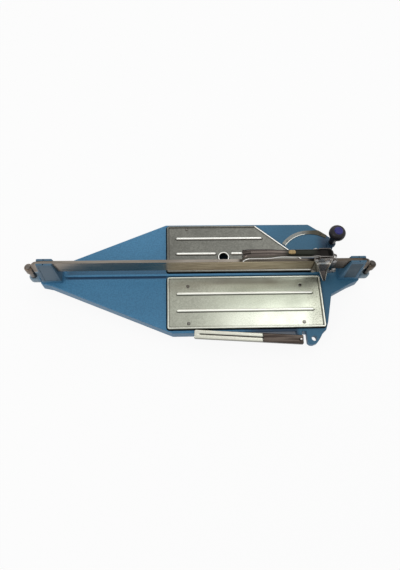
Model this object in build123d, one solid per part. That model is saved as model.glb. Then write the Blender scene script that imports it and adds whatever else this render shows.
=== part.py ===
from build123d import *
import os
from math import cos, radians, sin

os.makedirs("parts", exist_ok=True)

# Frame: X along the rail, Y away from the user, Z up. The bench is Z = 0 and the breaking line is Y = 0.

# Clearances
RUN = 0.06          # radial play of a turning fit
SEAT = 0.02         # radial play of a fixed fit
SLIDE = 0.1         # play between flat sliding faces
RAIL_PLAY = 0.05    # play of the rail in the post slots, each side

# Base casting
BASE_Z0 = 5.0       # underside of the walls
DECK_Z = 30.0       # top of the decks and of the walls
DECK_T = 5.0
WALL = 5.0
FLOOR_Z0 = 11.0     # floor of the plate wells
FLOOR_Z1 = 15.0
HALF_WIDTH = 121.0
FRONT_EDGE = HALF_WIDTH + 5.5
RIDGE_Z = 33.5
RIDGE_X0, RIDGE_X1 = -285.0, 246.0
RIDGE_TOP = 2.2     # half width of the breaking ridge at the top
WELL_GAP = 2.0      # play round the plates
LOBE_X, LOBE_R, LOBE_ROUND = 347.5, 10.0, 3.5
LOBE_Z0, LOBE_Z1 = 26.0, 38.0
EDGE_ROUND = 2.0    # soft edge of the casting
LUG_X, LUG_Y = 223.0, -HALF_WIDTH - 20.5
LUG_HOLE_R, LUG_Z0 = 5.5, 18.0
FOOT_Y = HALF_WIDTH - 21.0
FOOT_SPOTS = [(0, 0), (-262, 0), (-58, FOOT_Y), (-58, -FOOT_Y), (232, -FOOT_Y + 5), (258, FOOT_Y - 16)]
FOOT_R, FOOT_Z1, FOOT_STEM_R = 11.0, 6.0, 4.0

# Rail and end posts
HEAD_REACH = 74.7   # lever pivot to cross bar and to wheel axle
PIVOT_X, PIVOT_Z = 242.0, HEAD_REACH + 43.3
RAIL_T = 6.0
RAIL_Z0, RAIL_Z1 = 64.0, PIVOT_Z - 17.0
EYE_R, EYE_Z1 = 8.5, 80.0
TIE_R, TIE_HEAD_R, TIE_HEAD_H = 3.5, 4.8, 2.4
SLEEVE_R = 6.0
POST_X = 310.0
POST_TOP_Z = RAIL_Z1 + 1.0
POST_TOP = (31.0, 14.0)
POST_LEAN = 1.5     # how far the top stands out over the foot
POST_FOOT = (43.0, 28.0)
POST_BOLT_DX, POST_BOLT_R = 11.0, 3.0

# Floating plates
PLATE_X0, PLATE_X1 = -74.0, 249.5
PLATE_Y0, PLATE_Y1 = 5.5, HALF_WIDTH - 5.0
FRONT_PLATE_Y1 = FRONT_EDGE - 7.2
REAR_TIP_X, REAR_BACK_X = 250.0, 120.0
PLATE_Z0, SHEET_Z0, SHEET_Z1, RIM_Z = 26.0, 32.0, 34.0, 36.0
PLATE_CORNER, TIP_CORNER = 5.0, 7.0
SHEET_T = 2.0
RIM_W = 4.0
BEAD_W = 5.0
EYELET = (47.0, 39.5, 13.0, 8.8)
PIN_Y0, PIN_Y1 = PLATE_Y0 + 21.0, PLATE_Y1 - 8.0
FRONT_PINS = [(-31, -PIN_Y0), (205, -PIN_Y0), (-31, -PIN_Y1), (205, -PIN_Y1)]
REAR_PINS = [(-31, PIN_Y0), (196, PIN_Y0), (-31, PIN_Y1), (150, PIN_Y0 + 12)]
PIN_R, PIN_HEAD_R, PIN_HEAD_H, PIN_Z0 = 2.5, 3.2, 1.2, 8.0
PIN_BOSS_R, PIN_BOSS_Z = 7.0, 20.0
CLIP_R, CLIP_T = 4.5, 1.3
SPRING_R, SPRING_WIRE, SPRING_TURNS = 4.7, 1.2, 3

# Carriage and rollers
ROLLER_X = (PIVOT_X - 13.0, PIVOT_X + 17.5)
UPPER_R, LOWER_R = 5.45, 4.95
ROLL_PLAY = 0.05
UPPER_Z = RAIL_Z1 + UPPER_R + ROLL_PLAY
LOWER_Z = RAIL_Z0 - LOWER_R - ROLL_PLAY
CHEEK_Y0 = RAIL_T / 2 + 0.6
CHEEK_Y1 = CHEEK_Y0 + 2.4
CHEEK_TOP_R, CHEEK_PIVOT_R, CHEEK_FOOT_R = 6.5, 7.0, 5.0
AXLE_R, AXLE_HEAD_R, AXLE_HEAD_H = 2.5, 4.2, 1.5

# Lever and cutting head
PIVOT_R, PIVOT_HEAD_R, PIVOT_HEAD_H = 3.5, 4.8, 2.4
ARM_X0, ARM_X1 = 150.0, PIVOT_X + 4.2
ARM_HALF, ARM_WALL, ARM_TOP = 6.3, 2.0, 2.4
ARM_Z0, ARM_Z1 = PIVOT_Z + 10.0, PIVOT_Z + 17.0
GRIP_X0, GRIP_X1 = 77.0, 128.0
GRIP_HALF, GRIP_Z0, GRIP_Z1, GRIP_WALL = 8.2, PIVOT_Z - 0.5, PIVOT_Z + 13.0, 2.0
GUARD_T, GUARD_LIP = 3.0, 2.2
TONGUE_HALF_Y, TONGUE_END = ARM_HALF - ARM_WALL - 0.1, 35.0
STUD_X, STUD_R = 169.0, 3.0
BAR_ANGLE, WHEEL_ANGLE = 10.8, 26.0
BAR_R, HOLDER_HALF, HOLDER_Y = 3.0, 4.2, 4.5
FORK_Y0 = CHEEK_Y1 + AXLE_HEAD_H + 0.4
FORK_WEB, FORK_EDGE = 2.2, 1.6
FORK_SPREAD = 11.0  # how far the points stand out beyond the knee
FORK_TOP_Z = ARM_Z0 + 1.0
ARM_HEAD_X0, ARM_HEAD_HALF = PIVOT_X - 26.0, FORK_Y0 + FORK_WEB + 0.3
ARM_END = ARM_X1 + ARM_HALF
BRIDGE_T, BRIDGE_X0 = 2.5, PIVOT_X - 16.0
KNEE_Z = RAIL_Z0 + 5.0
EAR_X, EAR_Z, EAR_ROUND = PIVOT_X - 22.5, PIVOT_Z + 3.5, 5.0
WHEEL_R, WHEEL_HALF, WHEEL_AXLE_R = 6.0, 1.5, 1.5

# Angle fence
FENCE_X, FENCE_Y = 258.0, 0.0
KNOB_X, KNOB_Y = 285.0, 72.0
FENCE_HUB_R, FENCE_ARM_HALF, FENCE_END_R = 8.0, 5.5, 10.0
FENCE_Z0, FENCE_HUB_Z, FENCE_Z1 = DECK_Z + SLIDE, 33.0, 34.6
FENCE_PAD_R, FENCE_PAD_Z = FENCE_END_R - 1.5, 37.0
FENCE_SCREW_R = 3.5
STEM_R, BALL_R, BALL_Z, BALL_H = 6.6, 17.3, 78.0, 11.0
CLAMP_R, CLAMP_LIFT = 4.0, 0.6
CAP_R, CAP_T, CAP_SINK = 9.0, 4.5, 3.0
SCALE_R0, SCALE_W, SCALE_T = HALF_WIDTH - 22.3, 9.3, 1.2
SCALE_R1 = SCALE_R0 + SCALE_W
SCALE_RIVETS = (-40, -18, 2)

# Side support
SUPPORT_X, SUPPORT_Y, SUPPORT_TURN = 193.5, -HALF_WIDTH - 24.5, 175.86
SUPPORT_Z0, SUPPORT_Z1 = DECK_Z + 1.0, DECK_Z + 7.5
LINK_END, LINK_HALF, LINK_X1, TONGUE_X1, TONGUE_HALF = 5.2, 9.2, 76.0, 100.0, 6.8
CHANNEL_X1, CHANNEL_HALF, CHANNEL_Z0 = 214.0, 9.0, DECK_Z + 0.6
GROOVE_W, GROOVE_D = 2.6, 1.0
SUPPORT_PIN_R, SUPPORT_PIN_HEAD_R = 2.5, 3.8
TAB_R, TAB_Z0 = 5.0, 18.0


def prism(sketch, z0, z1):
    return Pos(0, 0, z0) * extrude(sketch, amount=z1 - z0, dir=(0, 0, 1))


def poly(*points):
    return Polygon(*points, align=None)


def block(x0, x1, y0, y1, z0, z1):
    return Pos((x0 + x1) / 2, (y0 + y1) / 2, (z0 + z1) / 2) * Box(x1 - x0, y1 - y0, z1 - z0)


def block_sketch(x0, x1, y0, y1):
    return Pos((x0 + x1) / 2, (y0 + y1) / 2) * Rectangle(x1 - x0, y1 - y0)


def disc(x, y, r):
    return Pos(x, y) * Circle(r)


def upright(x, y, z0, z1, r):
    return Pos(x, y, (z0 + z1) / 2) * Cylinder(r, z1 - z0)


def across(x, z, y0, y1, r):
    return Pos(x, (y0 + y1) / 2, z) * Rot(90, 0, 0) * Cylinder(r, y1 - y0)


def side_prism(sketch, y0, y1):
    """Extrude a sketch drawn in X and Z from y0 to y1."""
    return Pos(0, y0, 0) * extrude(Plane.XZ * sketch, amount=y1 - y0, dir=(0, 1, 0))


def end_prism(sketch, x0, x1):
    """Extrude a sketch drawn in Y and Z from x0 to x1."""
    return Pos(x0, 0, 0) * extrude(Plane.YZ * sketch, amount=x1 - x0, dir=(1, 0, 0))


def group(solids):
    return Compound(children=list(solids))


def base_outline():
    w = HALF_WIDTH
    right = [(249, -FRONT_EDGE), (256, 13 - w), (271, -46), (313, -24), (335, -15), (335, 15), (313, 24)]
    rear = [(272, 46), (291, w - 48), (290, w - 36), (240, w), (-76, w), (-313, 20), (-335, 15)]
    body = poly((-335, -15), (-313, -20), (-63, -FRONT_EDGE), *right, *rear)
    return fillet(body.vertices(), 5)


def front_plate_outline():
    plate = block_sketch(PLATE_X0, PLATE_X1, -FRONT_PLATE_Y1, -PLATE_Y0)
    return fillet(plate.vertices(), PLATE_CORNER)


def rear_plate_outline():
    plate = poly((PLATE_X0, PLATE_Y0), (REAR_TIP_X, PLATE_Y0), (REAR_BACK_X, PLATE_Y1), (PLATE_X0, PLATE_Y1))
    tip = plate.vertices().sort_by(Axis.X)[-1]
    plate = fillet(tip, TIP_CORNER)
    corners = plate.vertices().filter_by(lambda v: v.X < REAR_BACK_X + 1)
    return fillet(corners, PLATE_CORNER)


def lug_sketch():
    y = LUG_Y
    left = [(LUG_X - 15, -HALF_WIDTH + 5), (LUG_X - 14, y - 9), (LUG_X - 9.5, y - 12.6)]
    right = [(LUG_X - 3, y - 13), (LUG_X + 4.5, y - 10), (LUG_X + 11.5, y - 1), (LUG_X + 29, -HALF_WIDTH + 7)]
    return poly(*left, *right)


def tab_sketch():
    """Tab under the support arm, reaching from the front wall to the pivot."""
    web = block_sketch(SUPPORT_X - TAB_R, SUPPORT_X + TAB_R, SUPPORT_Y, -FRONT_EDGE + EDGE_ROUND)
    return web + disc(SUPPORT_X, SUPPORT_Y, TAB_R)


def scale_spot(angle):
    r = (SCALE_R0 + SCALE_R1) / 2
    return FENCE_X + r * sin(radians(angle)), FENCE_Y + r * cos(radians(angle))


def base_casting():
    outline = base_outline()
    inner = offset(outline, -WALL, kind=Kind.INTERSECTION)
    body = prism(outline, BASE_Z0, DECK_Z)
    body = fillet(body.edges().group_by(Axis.Z)[-1], EDGE_ROUND)
    for side in (-1, 1):
        ear = disc(LOBE_X, 0, LOBE_R) + block_sketch(POST_X + POST_FOOT[0] / 2 + 1, LOBE_X, -LOBE_R, LOBE_R)
        ear = prism(ear, LOBE_Z0, LOBE_Z1)
        ear = fillet(ear.edges().group_by(Axis.Z)[-1], LOBE_ROUND)
        body += ear if side > 0 else mirror(ear, about=Plane.YZ)
    body += prism(lug_sketch(), LUG_Z0, DECK_Z)
    body += prism(tab_sketch(), TAB_Z0, SUPPORT_Z0 - SLIDE)
    # hollow underside: shallow below the wells, deep below the end decks
    body -= prism(inner, BASE_Z0, FLOOR_Z0)
    wide = HALF_WIDTH + 9
    x0, x1 = PLATE_X0 - 8, PLATE_X1 + 7
    left = poly((-330, -wide), (x0, -wide), (x0, wide), (-330, wide))
    slant = [(REAR_BACK_X + 12, wide), (REAR_BACK_X + 12, PLATE_Y1 - 2), (REAR_TIP_X + 10, PLATE_Y0)]
    right = poly((x1, -wide), (330, -wide), (330, wide), *slant, (x1, PLATE_Y0))
    for zone in (left, right):
        body -= prism(inner & zone, BASE_Z0, DECK_Z - DECK_T)
    # wells for the two plates
    for plate in (front_plate_outline(), rear_plate_outline()):
        body -= prism(offset(plate, WELL_GAP), FLOOR_Z1, DECK_Z)
    # breaking ridge along the centre line
    foot = PLATE_Y0 - WELL_GAP
    shape = [(foot, DECK_Z), (RIDGE_TOP, RIDGE_Z), (-RIDGE_TOP, RIDGE_Z), (-foot, DECK_Z)]
    shape = poly((-foot, DECK_Z - 1), (foot, DECK_Z - 1), *shape)
    body += end_prism(shape, RIDGE_X0, RIDGE_X1)
    # bosses for guide pins, feet and the fence screw
    for x, y in FRONT_PINS + REAR_PINS:
        body += upright(x, y, FLOOR_Z0, PIN_BOSS_Z, PIN_BOSS_R)
    for x, y in FOOT_SPOTS:
        deck = x < x0 or x > x1
        body += upright(x, y, FOOT_Z1, 26 if deck else 13, FOOT_R + 1)
    body += upright(FENCE_X, FENCE_Y, FLOOR_Z0 - 1, DECK_Z, FENCE_HUB_R)
    # holes
    for x, y in FRONT_PINS + REAR_PINS:
        body -= upright(x, y, 0, DECK_Z, PIN_R + RUN)
    for x, y in FOOT_SPOTS:
        body -= upright(x, y, 0, 13.5, FOOT_STEM_R + SEAT)
    body -= upright(FENCE_X, FENCE_Y, 14, DECK_Z + 1, FENCE_SCREW_R + SEAT)
    body -= upright(LUG_X, LUG_Y, 0, 40, LUG_HOLE_R)
    body -= upright(SUPPORT_X, SUPPORT_Y, 0, 40, SUPPORT_PIN_R + SEAT)
    for angle in SCALE_RIVETS:
        body -= upright(*scale_spot(angle), 26, 40, 1.2 + SEAT)
    for side in (-1, 1):
        body -= upright(side * LOBE_X, 0, LOBE_Z0 + 2, LOBE_Z1 + 2, TIE_R + SEAT)
        for dx in (-POST_BOLT_DX, POST_BOLT_DX):
            body -= upright(side * POST_X + dx, 0, 20, 40, POST_BOLT_R + SEAT)
    return body


def post(side):
    foot = Pos(side * POST_X, 0, DECK_Z) * fillet(Rectangle(*POST_FOOT).vertices(), 3)
    top = Pos(side * (POST_X + POST_LEAN), 0, POST_TOP_Z) * fillet(Rectangle(*POST_TOP).vertices(), 2)
    body = loft([foot, top])
    half = RAIL_T / 2 + RAIL_PLAY
    body -= block(side * POST_X - 40, side * POST_X + 40, -half, half, RAIL_Z0, POST_TOP_Z + 9)
    # shallow panel on the front and rear faces
    lean = 5.55
    for face in (-1, 1):
        panel = Rot(face * lean, 0, 0) * Box(POST_TOP[0] - 6, 2.4, 56)
        body -= Pos(side * (POST_X + POST_LEAN / 2), face * 10.9, 67) * panel
        body -= upright(side * (POST_X + 3), face * 5, POST_TOP_Z - 4, POST_TOP_Z + 4, 1.2)
    for dx in (-POST_BOLT_DX, POST_BOLT_DX):
        body -= upright(side * POST_X + dx, 0, 20, 52, POST_BOLT_R + SEAT)
    return body


def post_bolts():
    bolts = []
    for side in (-1, 1):
        for dx in (-POST_BOLT_DX, POST_BOLT_DX):
            x = side * POST_X + dx
            head = upright(x, 0, DECK_Z - DECK_T - 4, DECK_Z - DECK_T, 5)
            bolts.append(head + upright(x, 0, DECK_Z - DECK_T, 50, POST_BOLT_R))
    return group(bolts)


def rail():
    x = LOBE_X - EYE_R
    curve = [(x - 20, RAIL_Z1), (x - 12, RAIL_Z1 - 1.2), (x - 5, RAIL_Z1 - 5), (x, RAIL_Z1 - 11)]
    shoulder = [*curve, (x + 3, EYE_Z1), (x + 3, RAIL_Z0)]
    left = [(-x, z) for x, z in reversed(shoulder)]
    body = side_prism(poly(*shoulder, *left), -RAIL_T / 2, RAIL_T / 2)
    for side in (-1, 1):
        eye = upright(side * LOBE_X, 0, RAIL_Z0, EYE_Z1, EYE_R)
        body += fillet(eye.edges().group_by(Axis.Z)[-1], 3)
        body -= upright(side * LOBE_X, 0, RAIL_Z0 - 5, EYE_Z1 + 5, TIE_R + SEAT)
    return body


def rail_tie_bolts():
    bolts = []
    for side in (-1, 1):
        head = upright(side * LOBE_X, 0, EYE_Z1, EYE_Z1 + TIE_HEAD_H, TIE_HEAD_R)
        head = fillet(head.edges().group_by(Axis.Z)[-1], 1.8)
        bolts.append(head + upright(side * LOBE_X, 0, LOBE_Z0 + 2.5, EYE_Z1, TIE_R))
    return group(bolts)


def tie_sleeves():
    sleeves = []
    for side in (-1, 1):
        sleeve = upright(side * LOBE_X, 0, LOBE_Z1, RAIL_Z0, SLEEVE_R)
        sleeves.append(sleeve - upright(side * LOBE_X, 0, LOBE_Z1, RAIL_Z0, TIE_R + SEAT))
    return group(sleeves)


def rubber_feet():
    feet = []
    for x, y in FOOT_SPOTS:
        pad = upright(x, y, 0, FOOT_Z1, FOOT_R)
        pad = chamfer(pad.edges().group_by(Axis.Z)[0], 1.2)
        feet.append(pad + upright(x, y, FOOT_Z1, 13, FOOT_STEM_R))
    return group(feet)


def bead(x0, x1, y, width=BEAD_W):
    bar = prism(Pos((x0 + x1) / 2, y) * SlotOverall(x1 - x0, width), SHEET_Z1 - 0.5, RIM_Z)
    return chamfer(bar.edges().group_by(Axis.Z)[-1], 1.2)


def pressed_plate(outline, beads, pins):
    body = prism(outline, PLATE_Z0, RIM_Z)
    body = chamfer(body.edges().group_by(Axis.Z)[-1], 0.9)
    body -= prism(offset(outline, -SHEET_T), PLATE_Z0, SHEET_Z0)
    body -= prism(offset(outline, -RIM_W), SHEET_Z1, RIM_Z)
    for x0, x1, y in beads:
        body += bead(x0, x1, y)
    for x, y in pins:
        body -= upright(x, y, 20, 40, PIN_R + SEAT)
    return body


def front_plate():
    beads = [(-54, 229, -43), (-54, 228, -80)]
    return pressed_plate(front_plate_outline(), beads, FRONT_PINS)


def rear_plate():
    x, y, ring_r, hole_r = EYELET
    beads = [(-54, 133, 85), (-54, 31, 48.5), (63, 172, 48.5)]
    body = pressed_plate(rear_plate_outline(), beads, REAR_PINS)
    ring = upright(x, y, SHEET_Z1 - 0.5, RIM_Z + 0.4, ring_r)
    body += chamfer(ring.edges().group_by(Axis.Z)[-1], 1.6)
    mouth = Pos(x, y, RIM_Z - 0.5) * Cone(hole_r, hole_r + 2, 3)
    return body - upright(x, y, 20, 40, hole_r) - mouth


def guide_pins(spots):
    pins = []
    for x, y in spots:
        head = upright(x, y, SHEET_Z1, SHEET_Z1 + PIN_HEAD_H, PIN_HEAD_R)
        head = chamfer(head.edges().group_by(Axis.Z)[-1], 0.6)
        pins.append(head + upright(x, y, PIN_Z0, SHEET_Z1, PIN_R))
    return group(pins)


def pin_clips(spots):
    z1 = FLOOR_Z0 - SLIDE
    return group(upright(x, y, z1 - CLIP_T, z1, CLIP_R) - upright(x, y, 0, 20, PIN_R + SEAT) for x, y in spots)


def plate_springs(spots):
    height = SHEET_Z0 - PIN_BOSS_Z - SPRING_WIRE
    path = Helix(pitch=height / SPRING_TURNS, height=height, radius=SPRING_R)
    section = Plane(origin=path @ 0, z_dir=path % 0) * Rectangle(SPRING_WIRE, SPRING_WIRE)
    coil = Pos(0, 0, PIN_BOSS_Z + SPRING_WIRE / 2) * sweep(section, path=path, is_frenet=True)
    return group(Pos(x, y, 0) * coil for x, y in spots)


def carriage_cheek(side):
    spots = disc(PIVOT_X, PIVOT_Z, CHEEK_PIVOT_R)
    for x in ROLLER_X:
        spots += disc(x, UPPER_Z, CHEEK_TOP_R) + disc(x, LOWER_Z, CHEEK_FOOT_R)
    shape = make_hull(spots.edges())
    for x in ROLLER_X:
        for z in (UPPER_Z, LOWER_Z):
            shape -= disc(x, z, AXLE_R + SEAT)
    shape -= disc(PIVOT_X, PIVOT_Z, PIVOT_R + RUN)
    cheek = side_prism(shape, CHEEK_Y0, CHEEK_Y1)
    return cheek if side > 0 else mirror(cheek, about=Plane.XZ)


def roller_axles():
    axles = []
    for x in ROLLER_X:
        for z in (UPPER_Z, LOWER_Z):
            axle = across(x, z, -CHEEK_Y1, CHEEK_Y1, AXLE_R)
            for y0, y1 in ((-CHEEK_Y1 - AXLE_HEAD_H, -CHEEK_Y1), (CHEEK_Y1, CHEEK_Y1 + AXLE_HEAD_H)):
                axle += across(x, z, y0, y1, AXLE_HEAD_R)
            axles.append(axle)
    return group(axles)


def roller(x, z, r):
    half = CHEEK_Y0 - SLIDE
    return across(x, z, -half, half, r) - across(x, z, -half, half, AXLE_R + RUN)


def lever_plan():
    """Narrow arm that widens to a head over the fork."""
    x, half = ARM_HEAD_X0, ARM_HEAD_HALF
    shape = poly((ARM_X0, -ARM_HALF), (x, -ARM_HALF), (x + 9, -half), (ARM_END, -half),
                 (ARM_END, half), (x + 9, half), (x, ARM_HALF), (ARM_X0, ARM_HALF))
    return fillet(shape.vertices().group_by(Axis.X)[-1], 7)


def lever_arm():
    body = prism(lever_plan(), ARM_Z0, ARM_Z1)
    body = chamfer(body.edges().group_by(Axis.Z)[-1], 1.2)
    # the end bends down over the fork
    bend = [(ARM_END, ARM_Z0 + 2.4), (ARM_END - 1.6, ARM_Z1 - 2.4), (ARM_END - 4.4, ARM_Z1 - 0.6), (ARM_END - 8, ARM_Z1)]
    side = poly((ARM_X0, ARM_Z0), (ARM_END, ARM_Z0), *bend, (ARM_X0, ARM_Z1))
    body = body & side_prism(side, -20, 20)
    half = ARM_HALF - ARM_WALL
    body -= block(ARM_X0 - 1, BRIDGE_X0 - 1, -half, half, ARM_Z0, ARM_Z1 - ARM_TOP)
    body -= block(BRIDGE_X0 - 1, ARM_X1 + 20, -20, 20, ARM_Z0, FORK_TOP_Z)
    return body - upright(STUD_X, 0, ARM_Z0, ARM_Z1, STUD_R + SEAT)


def grip_section(x, half, z0, z1, corner):
    shape = Pos(0, (z0 + z1) / 2) * Rectangle(2 * half, z1 - z0)
    return Pos(x, 0, 0) * (Plane.YZ * fillet(shape.vertices().group_by(Axis.Y)[-1], corner))


def handle_grip():
    sections = [grip_section(x, GRIP_HALF, GRIP_Z0, GRIP_Z1, 4) for x in (GRIP_X0, GRIP_X1)]
    sections.append(grip_section(ARM_X0, ARM_HALF, ARM_Z0, ARM_Z1, 2))
    body = loft(sections, ruled=True)
    half = GRIP_HALF - GRIP_WALL
    body -= block(GRIP_X0, GRIP_X1, -half, half, GRIP_Z0, GRIP_Z1 - 2 * GRIP_WALL)
    z = (GRIP_Z0 + GRIP_Z1) / 2
    lip = GUARD_LIP
    guard = Pos(0, z) * Rectangle(2 * (GRIP_HALF + lip), GRIP_Z1 - GRIP_Z0 + 2 * lip)
    body += end_prism(fillet(guard.vertices(), 4), GRIP_X0 - GUARD_T, GRIP_X0)
    top = ARM_Z1 - ARM_TOP
    body += block(ARM_X0 - 2, ARM_X0 + TONGUE_END, -TONGUE_HALF_Y, TONGUE_HALF_Y, ARM_Z0 + 0.5, top)
    return body - upright(STUD_X, 0, ARM_Z0, ARM_Z1, STUD_R + SEAT)


def lever_stud():
    head = prism(Pos(STUD_X, 0) * SlotOverall(15, 9), ARM_Z1, ARM_Z1 + 2.4)
    head = chamfer(head.edges().group_by(Axis.Z)[-1], 1)
    return head + upright(STUD_X, 0, ARM_Z0 + 0.5, ARM_Z1, STUD_R)


def lever_pivot_pin():
    web = FORK_Y0 + FORK_WEB
    pin = across(PIVOT_X, PIVOT_Z, -web, web, PIVOT_R)
    for y0, y1 in ((-web - PIVOT_HEAD_H, -web), (web, web + PIVOT_HEAD_H)):
        pin += across(PIVOT_X, PIVOT_Z, y0, y1, PIVOT_HEAD_R)
    return pin


def pivot_spacers():
    rings = []
    for y0, y1 in ((-FORK_Y0, -CHEEK_Y1 - SLIDE), (CHEEK_Y1 + SLIDE, FORK_Y0)):
        ring = across(PIVOT_X, PIVOT_Z, y0, y1, PIVOT_R + 2)
        rings.append(ring - across(PIVOT_X, PIVOT_Z, y0, y1, PIVOT_R + SEAT))
    return group(rings)


def head_spot(angle):
    return PIVOT_X + HEAD_REACH * sin(radians(angle)), PIVOT_Z - HEAD_REACH * cos(radians(angle))


def leg_loft(knee, tip, z0, z1):
    """Solid between two upright rectangles, each given as x0, x1, y0, y1."""
    faces = []
    for (x0, x1, y0, y1), z in ((knee, z0), (tip, z1)):
        faces.append(Pos(0, 0, z) * block_sketch(x0, x1, y0, y1))
    return loft(faces)


def fork_prong():
    """Front prong: a V pressing with raised edges that spreads outward below its knee."""
    bar_x, bar_z = head_spot(BAR_ANGLE)
    y0, web = -FORK_Y0, -FORK_Y0 - FORK_WEB
    y1 = web - FORK_EDGE
    edge, out = 2.4, FORK_SPREAD
    knee_x0, knee_x1 = PIVOT_X - 3.5, PIVOT_X + 13.0
    tip_x0, tip_x1, tip_z = bar_x - 3.6, bar_x + 1.6, bar_z - 5.2
    side = [(PIVOT_X + 6, FORK_TOP_Z), (PIVOT_X + 9, PIVOT_Z + 4), (knee_x1, KNEE_Z)]
    top = poly((BRIDGE_X0, FORK_TOP_Z), *side, (knee_x0, KNEE_Z), (EAR_X, PIVOT_Z - 3))
    body = side_prism(top + disc(EAR_X, EAR_Z, EAR_ROUND), y1, y0)
    body += leg_loft((knee_x0, knee_x1, y1, y0), (tip_x0, tip_x1, y1 - out + 1.6, y0 - out), KNEE_Z, tip_z)
    # hollow face inside the raised edges
    inner = [(PIVOT_X + 4.6, FORK_TOP_Z - edge), (PIVOT_X + 6.6, PIVOT_Z + 3), (knee_x1 - edge, KNEE_Z)]
    face = poly((BRIDGE_X0 + 2, FORK_TOP_Z - edge), *inner, (knee_x0 + edge, KNEE_Z), (EAR_X + 3.5, PIVOT_Z - 1))
    body -= side_prism(face, y1 - 1, web)
    knee = (knee_x0 + edge, knee_x1 - edge, y1 - 1, web)
    body -= leg_loft(knee, (tip_x0 + 1.6, tip_x1 - 1.6, y1 - out - 1, web - out + 0.4), KNEE_Z, tip_z)
    return body - across(PIVOT_X, PIVOT_Z, y1 - 1, web, PIVOT_HEAD_R + 0.4)


def breaker_fork():
    front = fork_prong()
    half = FORK_Y0 + FORK_WEB
    bridge = block(BRIDGE_X0, PIVOT_X + 2, -half, half, FORK_TOP_Z - BRIDGE_T, FORK_TOP_Z)
    x, z = head_spot(BAR_ANGLE)
    reach = FORK_Y0 + FORK_SPREAD * (KNEE_Z - z) / (KNEE_Z - z + 5.2) + 1
    body = front + mirror(front, about=Plane.XZ) + bridge + across(x, z, -reach, reach, BAR_R)
    body -= across(EAR_X, EAR_Z, -20, 20, AXLE_R + SEAT)
    return body - across(PIVOT_X, PIVOT_Z, -30, 30, PIVOT_R + SEAT)


def fork_rivet():
    half = FORK_Y0 + FORK_WEB + FORK_EDGE
    body = across(EAR_X, EAR_Z, -half, half, AXLE_R)
    for y0, y1 in ((-half - AXLE_HEAD_H, -half), (half, half + AXLE_HEAD_H)):
        body += across(EAR_X, EAR_Z, y0, y1, AXLE_HEAD_R)
    return body


def wheel_holder():
    xa, za = head_spot(BAR_ANGLE)
    xb, zb = head_spot(WHEEL_ANGLE)
    shape = make_hull((disc(xa, za, HOLDER_HALF) + disc(xb, zb, HOLDER_HALF)).edges())
    body = side_prism(shape, -HOLDER_Y, HOLDER_Y)
    body -= across(xa, za, -20, 20, BAR_R + SEAT)
    body -= across(xb, zb, -20, 20, WHEEL_AXLE_R + SEAT)
    return body - across(xb, zb, -WHEEL_HALF - 0.3, WHEEL_HALF + 0.3, WHEEL_R + 1)


def wheel_axle():
    x, z = head_spot(WHEEL_ANGLE)
    axle = across(x, z, -HOLDER_Y, HOLDER_Y, WHEEL_AXLE_R)
    return axle + across(x, z, -HOLDER_Y - 1, -HOLDER_Y, 2.6) + across(x, z, HOLDER_Y, HOLDER_Y + 1, 2.6)


def scoring_wheel():
    x, z = head_spot(WHEEL_ANGLE)
    bore = WHEEL_AXLE_R + RUN
    half = WHEEL_HALF
    profile = poly((bore, -half), (WHEEL_R - 1.8, -half), (WHEEL_R, 0), (WHEEL_R - 1.8, half), (bore, half))
    return Pos(x, 0, z) * revolve(profile, axis=Axis.Y)


def fence_arm():
    ends = [(FENCE_X, FENCE_Y), (KNOB_X, KNOB_Y)]
    plan = make_hull((disc(*ends[0], FENCE_ARM_HALF) + disc(*ends[1], FENCE_ARM_HALF)).edges())
    plan += disc(*ends[0], FENCE_HUB_R) + disc(*ends[1], FENCE_END_R)
    body = prism(plan, FENCE_Z0, FENCE_Z1)
    body = chamfer(body.edges().group_by(Axis.Z)[-1], 1)
    body -= upright(FENCE_X, FENCE_Y, FENCE_HUB_Z, 40, 10.5)
    body += upright(KNOB_X, KNOB_Y, FENCE_Z1, FENCE_PAD_Z, FENCE_PAD_R)
    body -= upright(FENCE_X, FENCE_Y, 20, 40, FENCE_SCREW_R + RUN)
    return body - upright(KNOB_X, KNOB_Y, 20, 40, CLAMP_R + RUN)


def fence_pivot_screw():
    head = upright(FENCE_X, FENCE_Y, FENCE_HUB_Z + SLIDE, FENCE_HUB_Z + 2, 6.4)
    return head + upright(FENCE_X, FENCE_Y, 16, FENCE_HUB_Z + SLIDE, FENCE_SCREW_R)


def clamp_stud():
    return upright(KNOB_X, KNOB_Y, DECK_Z + CLAMP_LIFT, BALL_Z - BALL_H, CLAMP_R)


def locking_knob():
    half = Pos(BALL_R / 2, 0) * Rectangle(BALL_R, 2 * BALL_H)
    half = fillet(half.vertices().group_by(Axis.X)[-1], 0.88 * BALL_H)
    body = Pos(KNOB_X, KNOB_Y, BALL_Z) * revolve(Plane.XZ * half, axis=Axis.Z)
    body += upright(KNOB_X, KNOB_Y, FENCE_PAD_Z + SLIDE, BALL_Z, STEM_R)
    top = BALL_Z + BALL_H
    body -= upright(KNOB_X, KNOB_Y, top - CAP_SINK, top + 5, CAP_R + SEAT)
    return body - upright(KNOB_X, KNOB_Y, DECK_Z, BALL_Z - BALL_H, CLAMP_R + SEAT)


def knob_cap():
    foot = BALL_Z + BALL_H - CAP_SINK
    cap = upright(KNOB_X, KNOB_Y, foot, foot + CAP_T, CAP_R)
    return chamfer(cap.edges().group_by(Axis.Z)[-1], 1.5)


def protractor_scale():
    ring = Circle(SCALE_R1) - Circle(SCALE_R0)
    rays = [(200 * sin(radians(a)), 200 * cos(radians(a))) for a in (-45.5, -10, 20)]
    band = Pos(FENCE_X, FENCE_Y) * (ring & poly((0, 0), *rays))
    band = band & offset(base_outline(), -2.5, kind=Kind.INTERSECTION)
    body = prism(band, DECK_Z, DECK_Z + SCALE_T)
    for angle in SCALE_RIVETS:
        body -= upright(*scale_spot(angle), 26, 40, 1.2 + SEAT)
    return body


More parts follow.
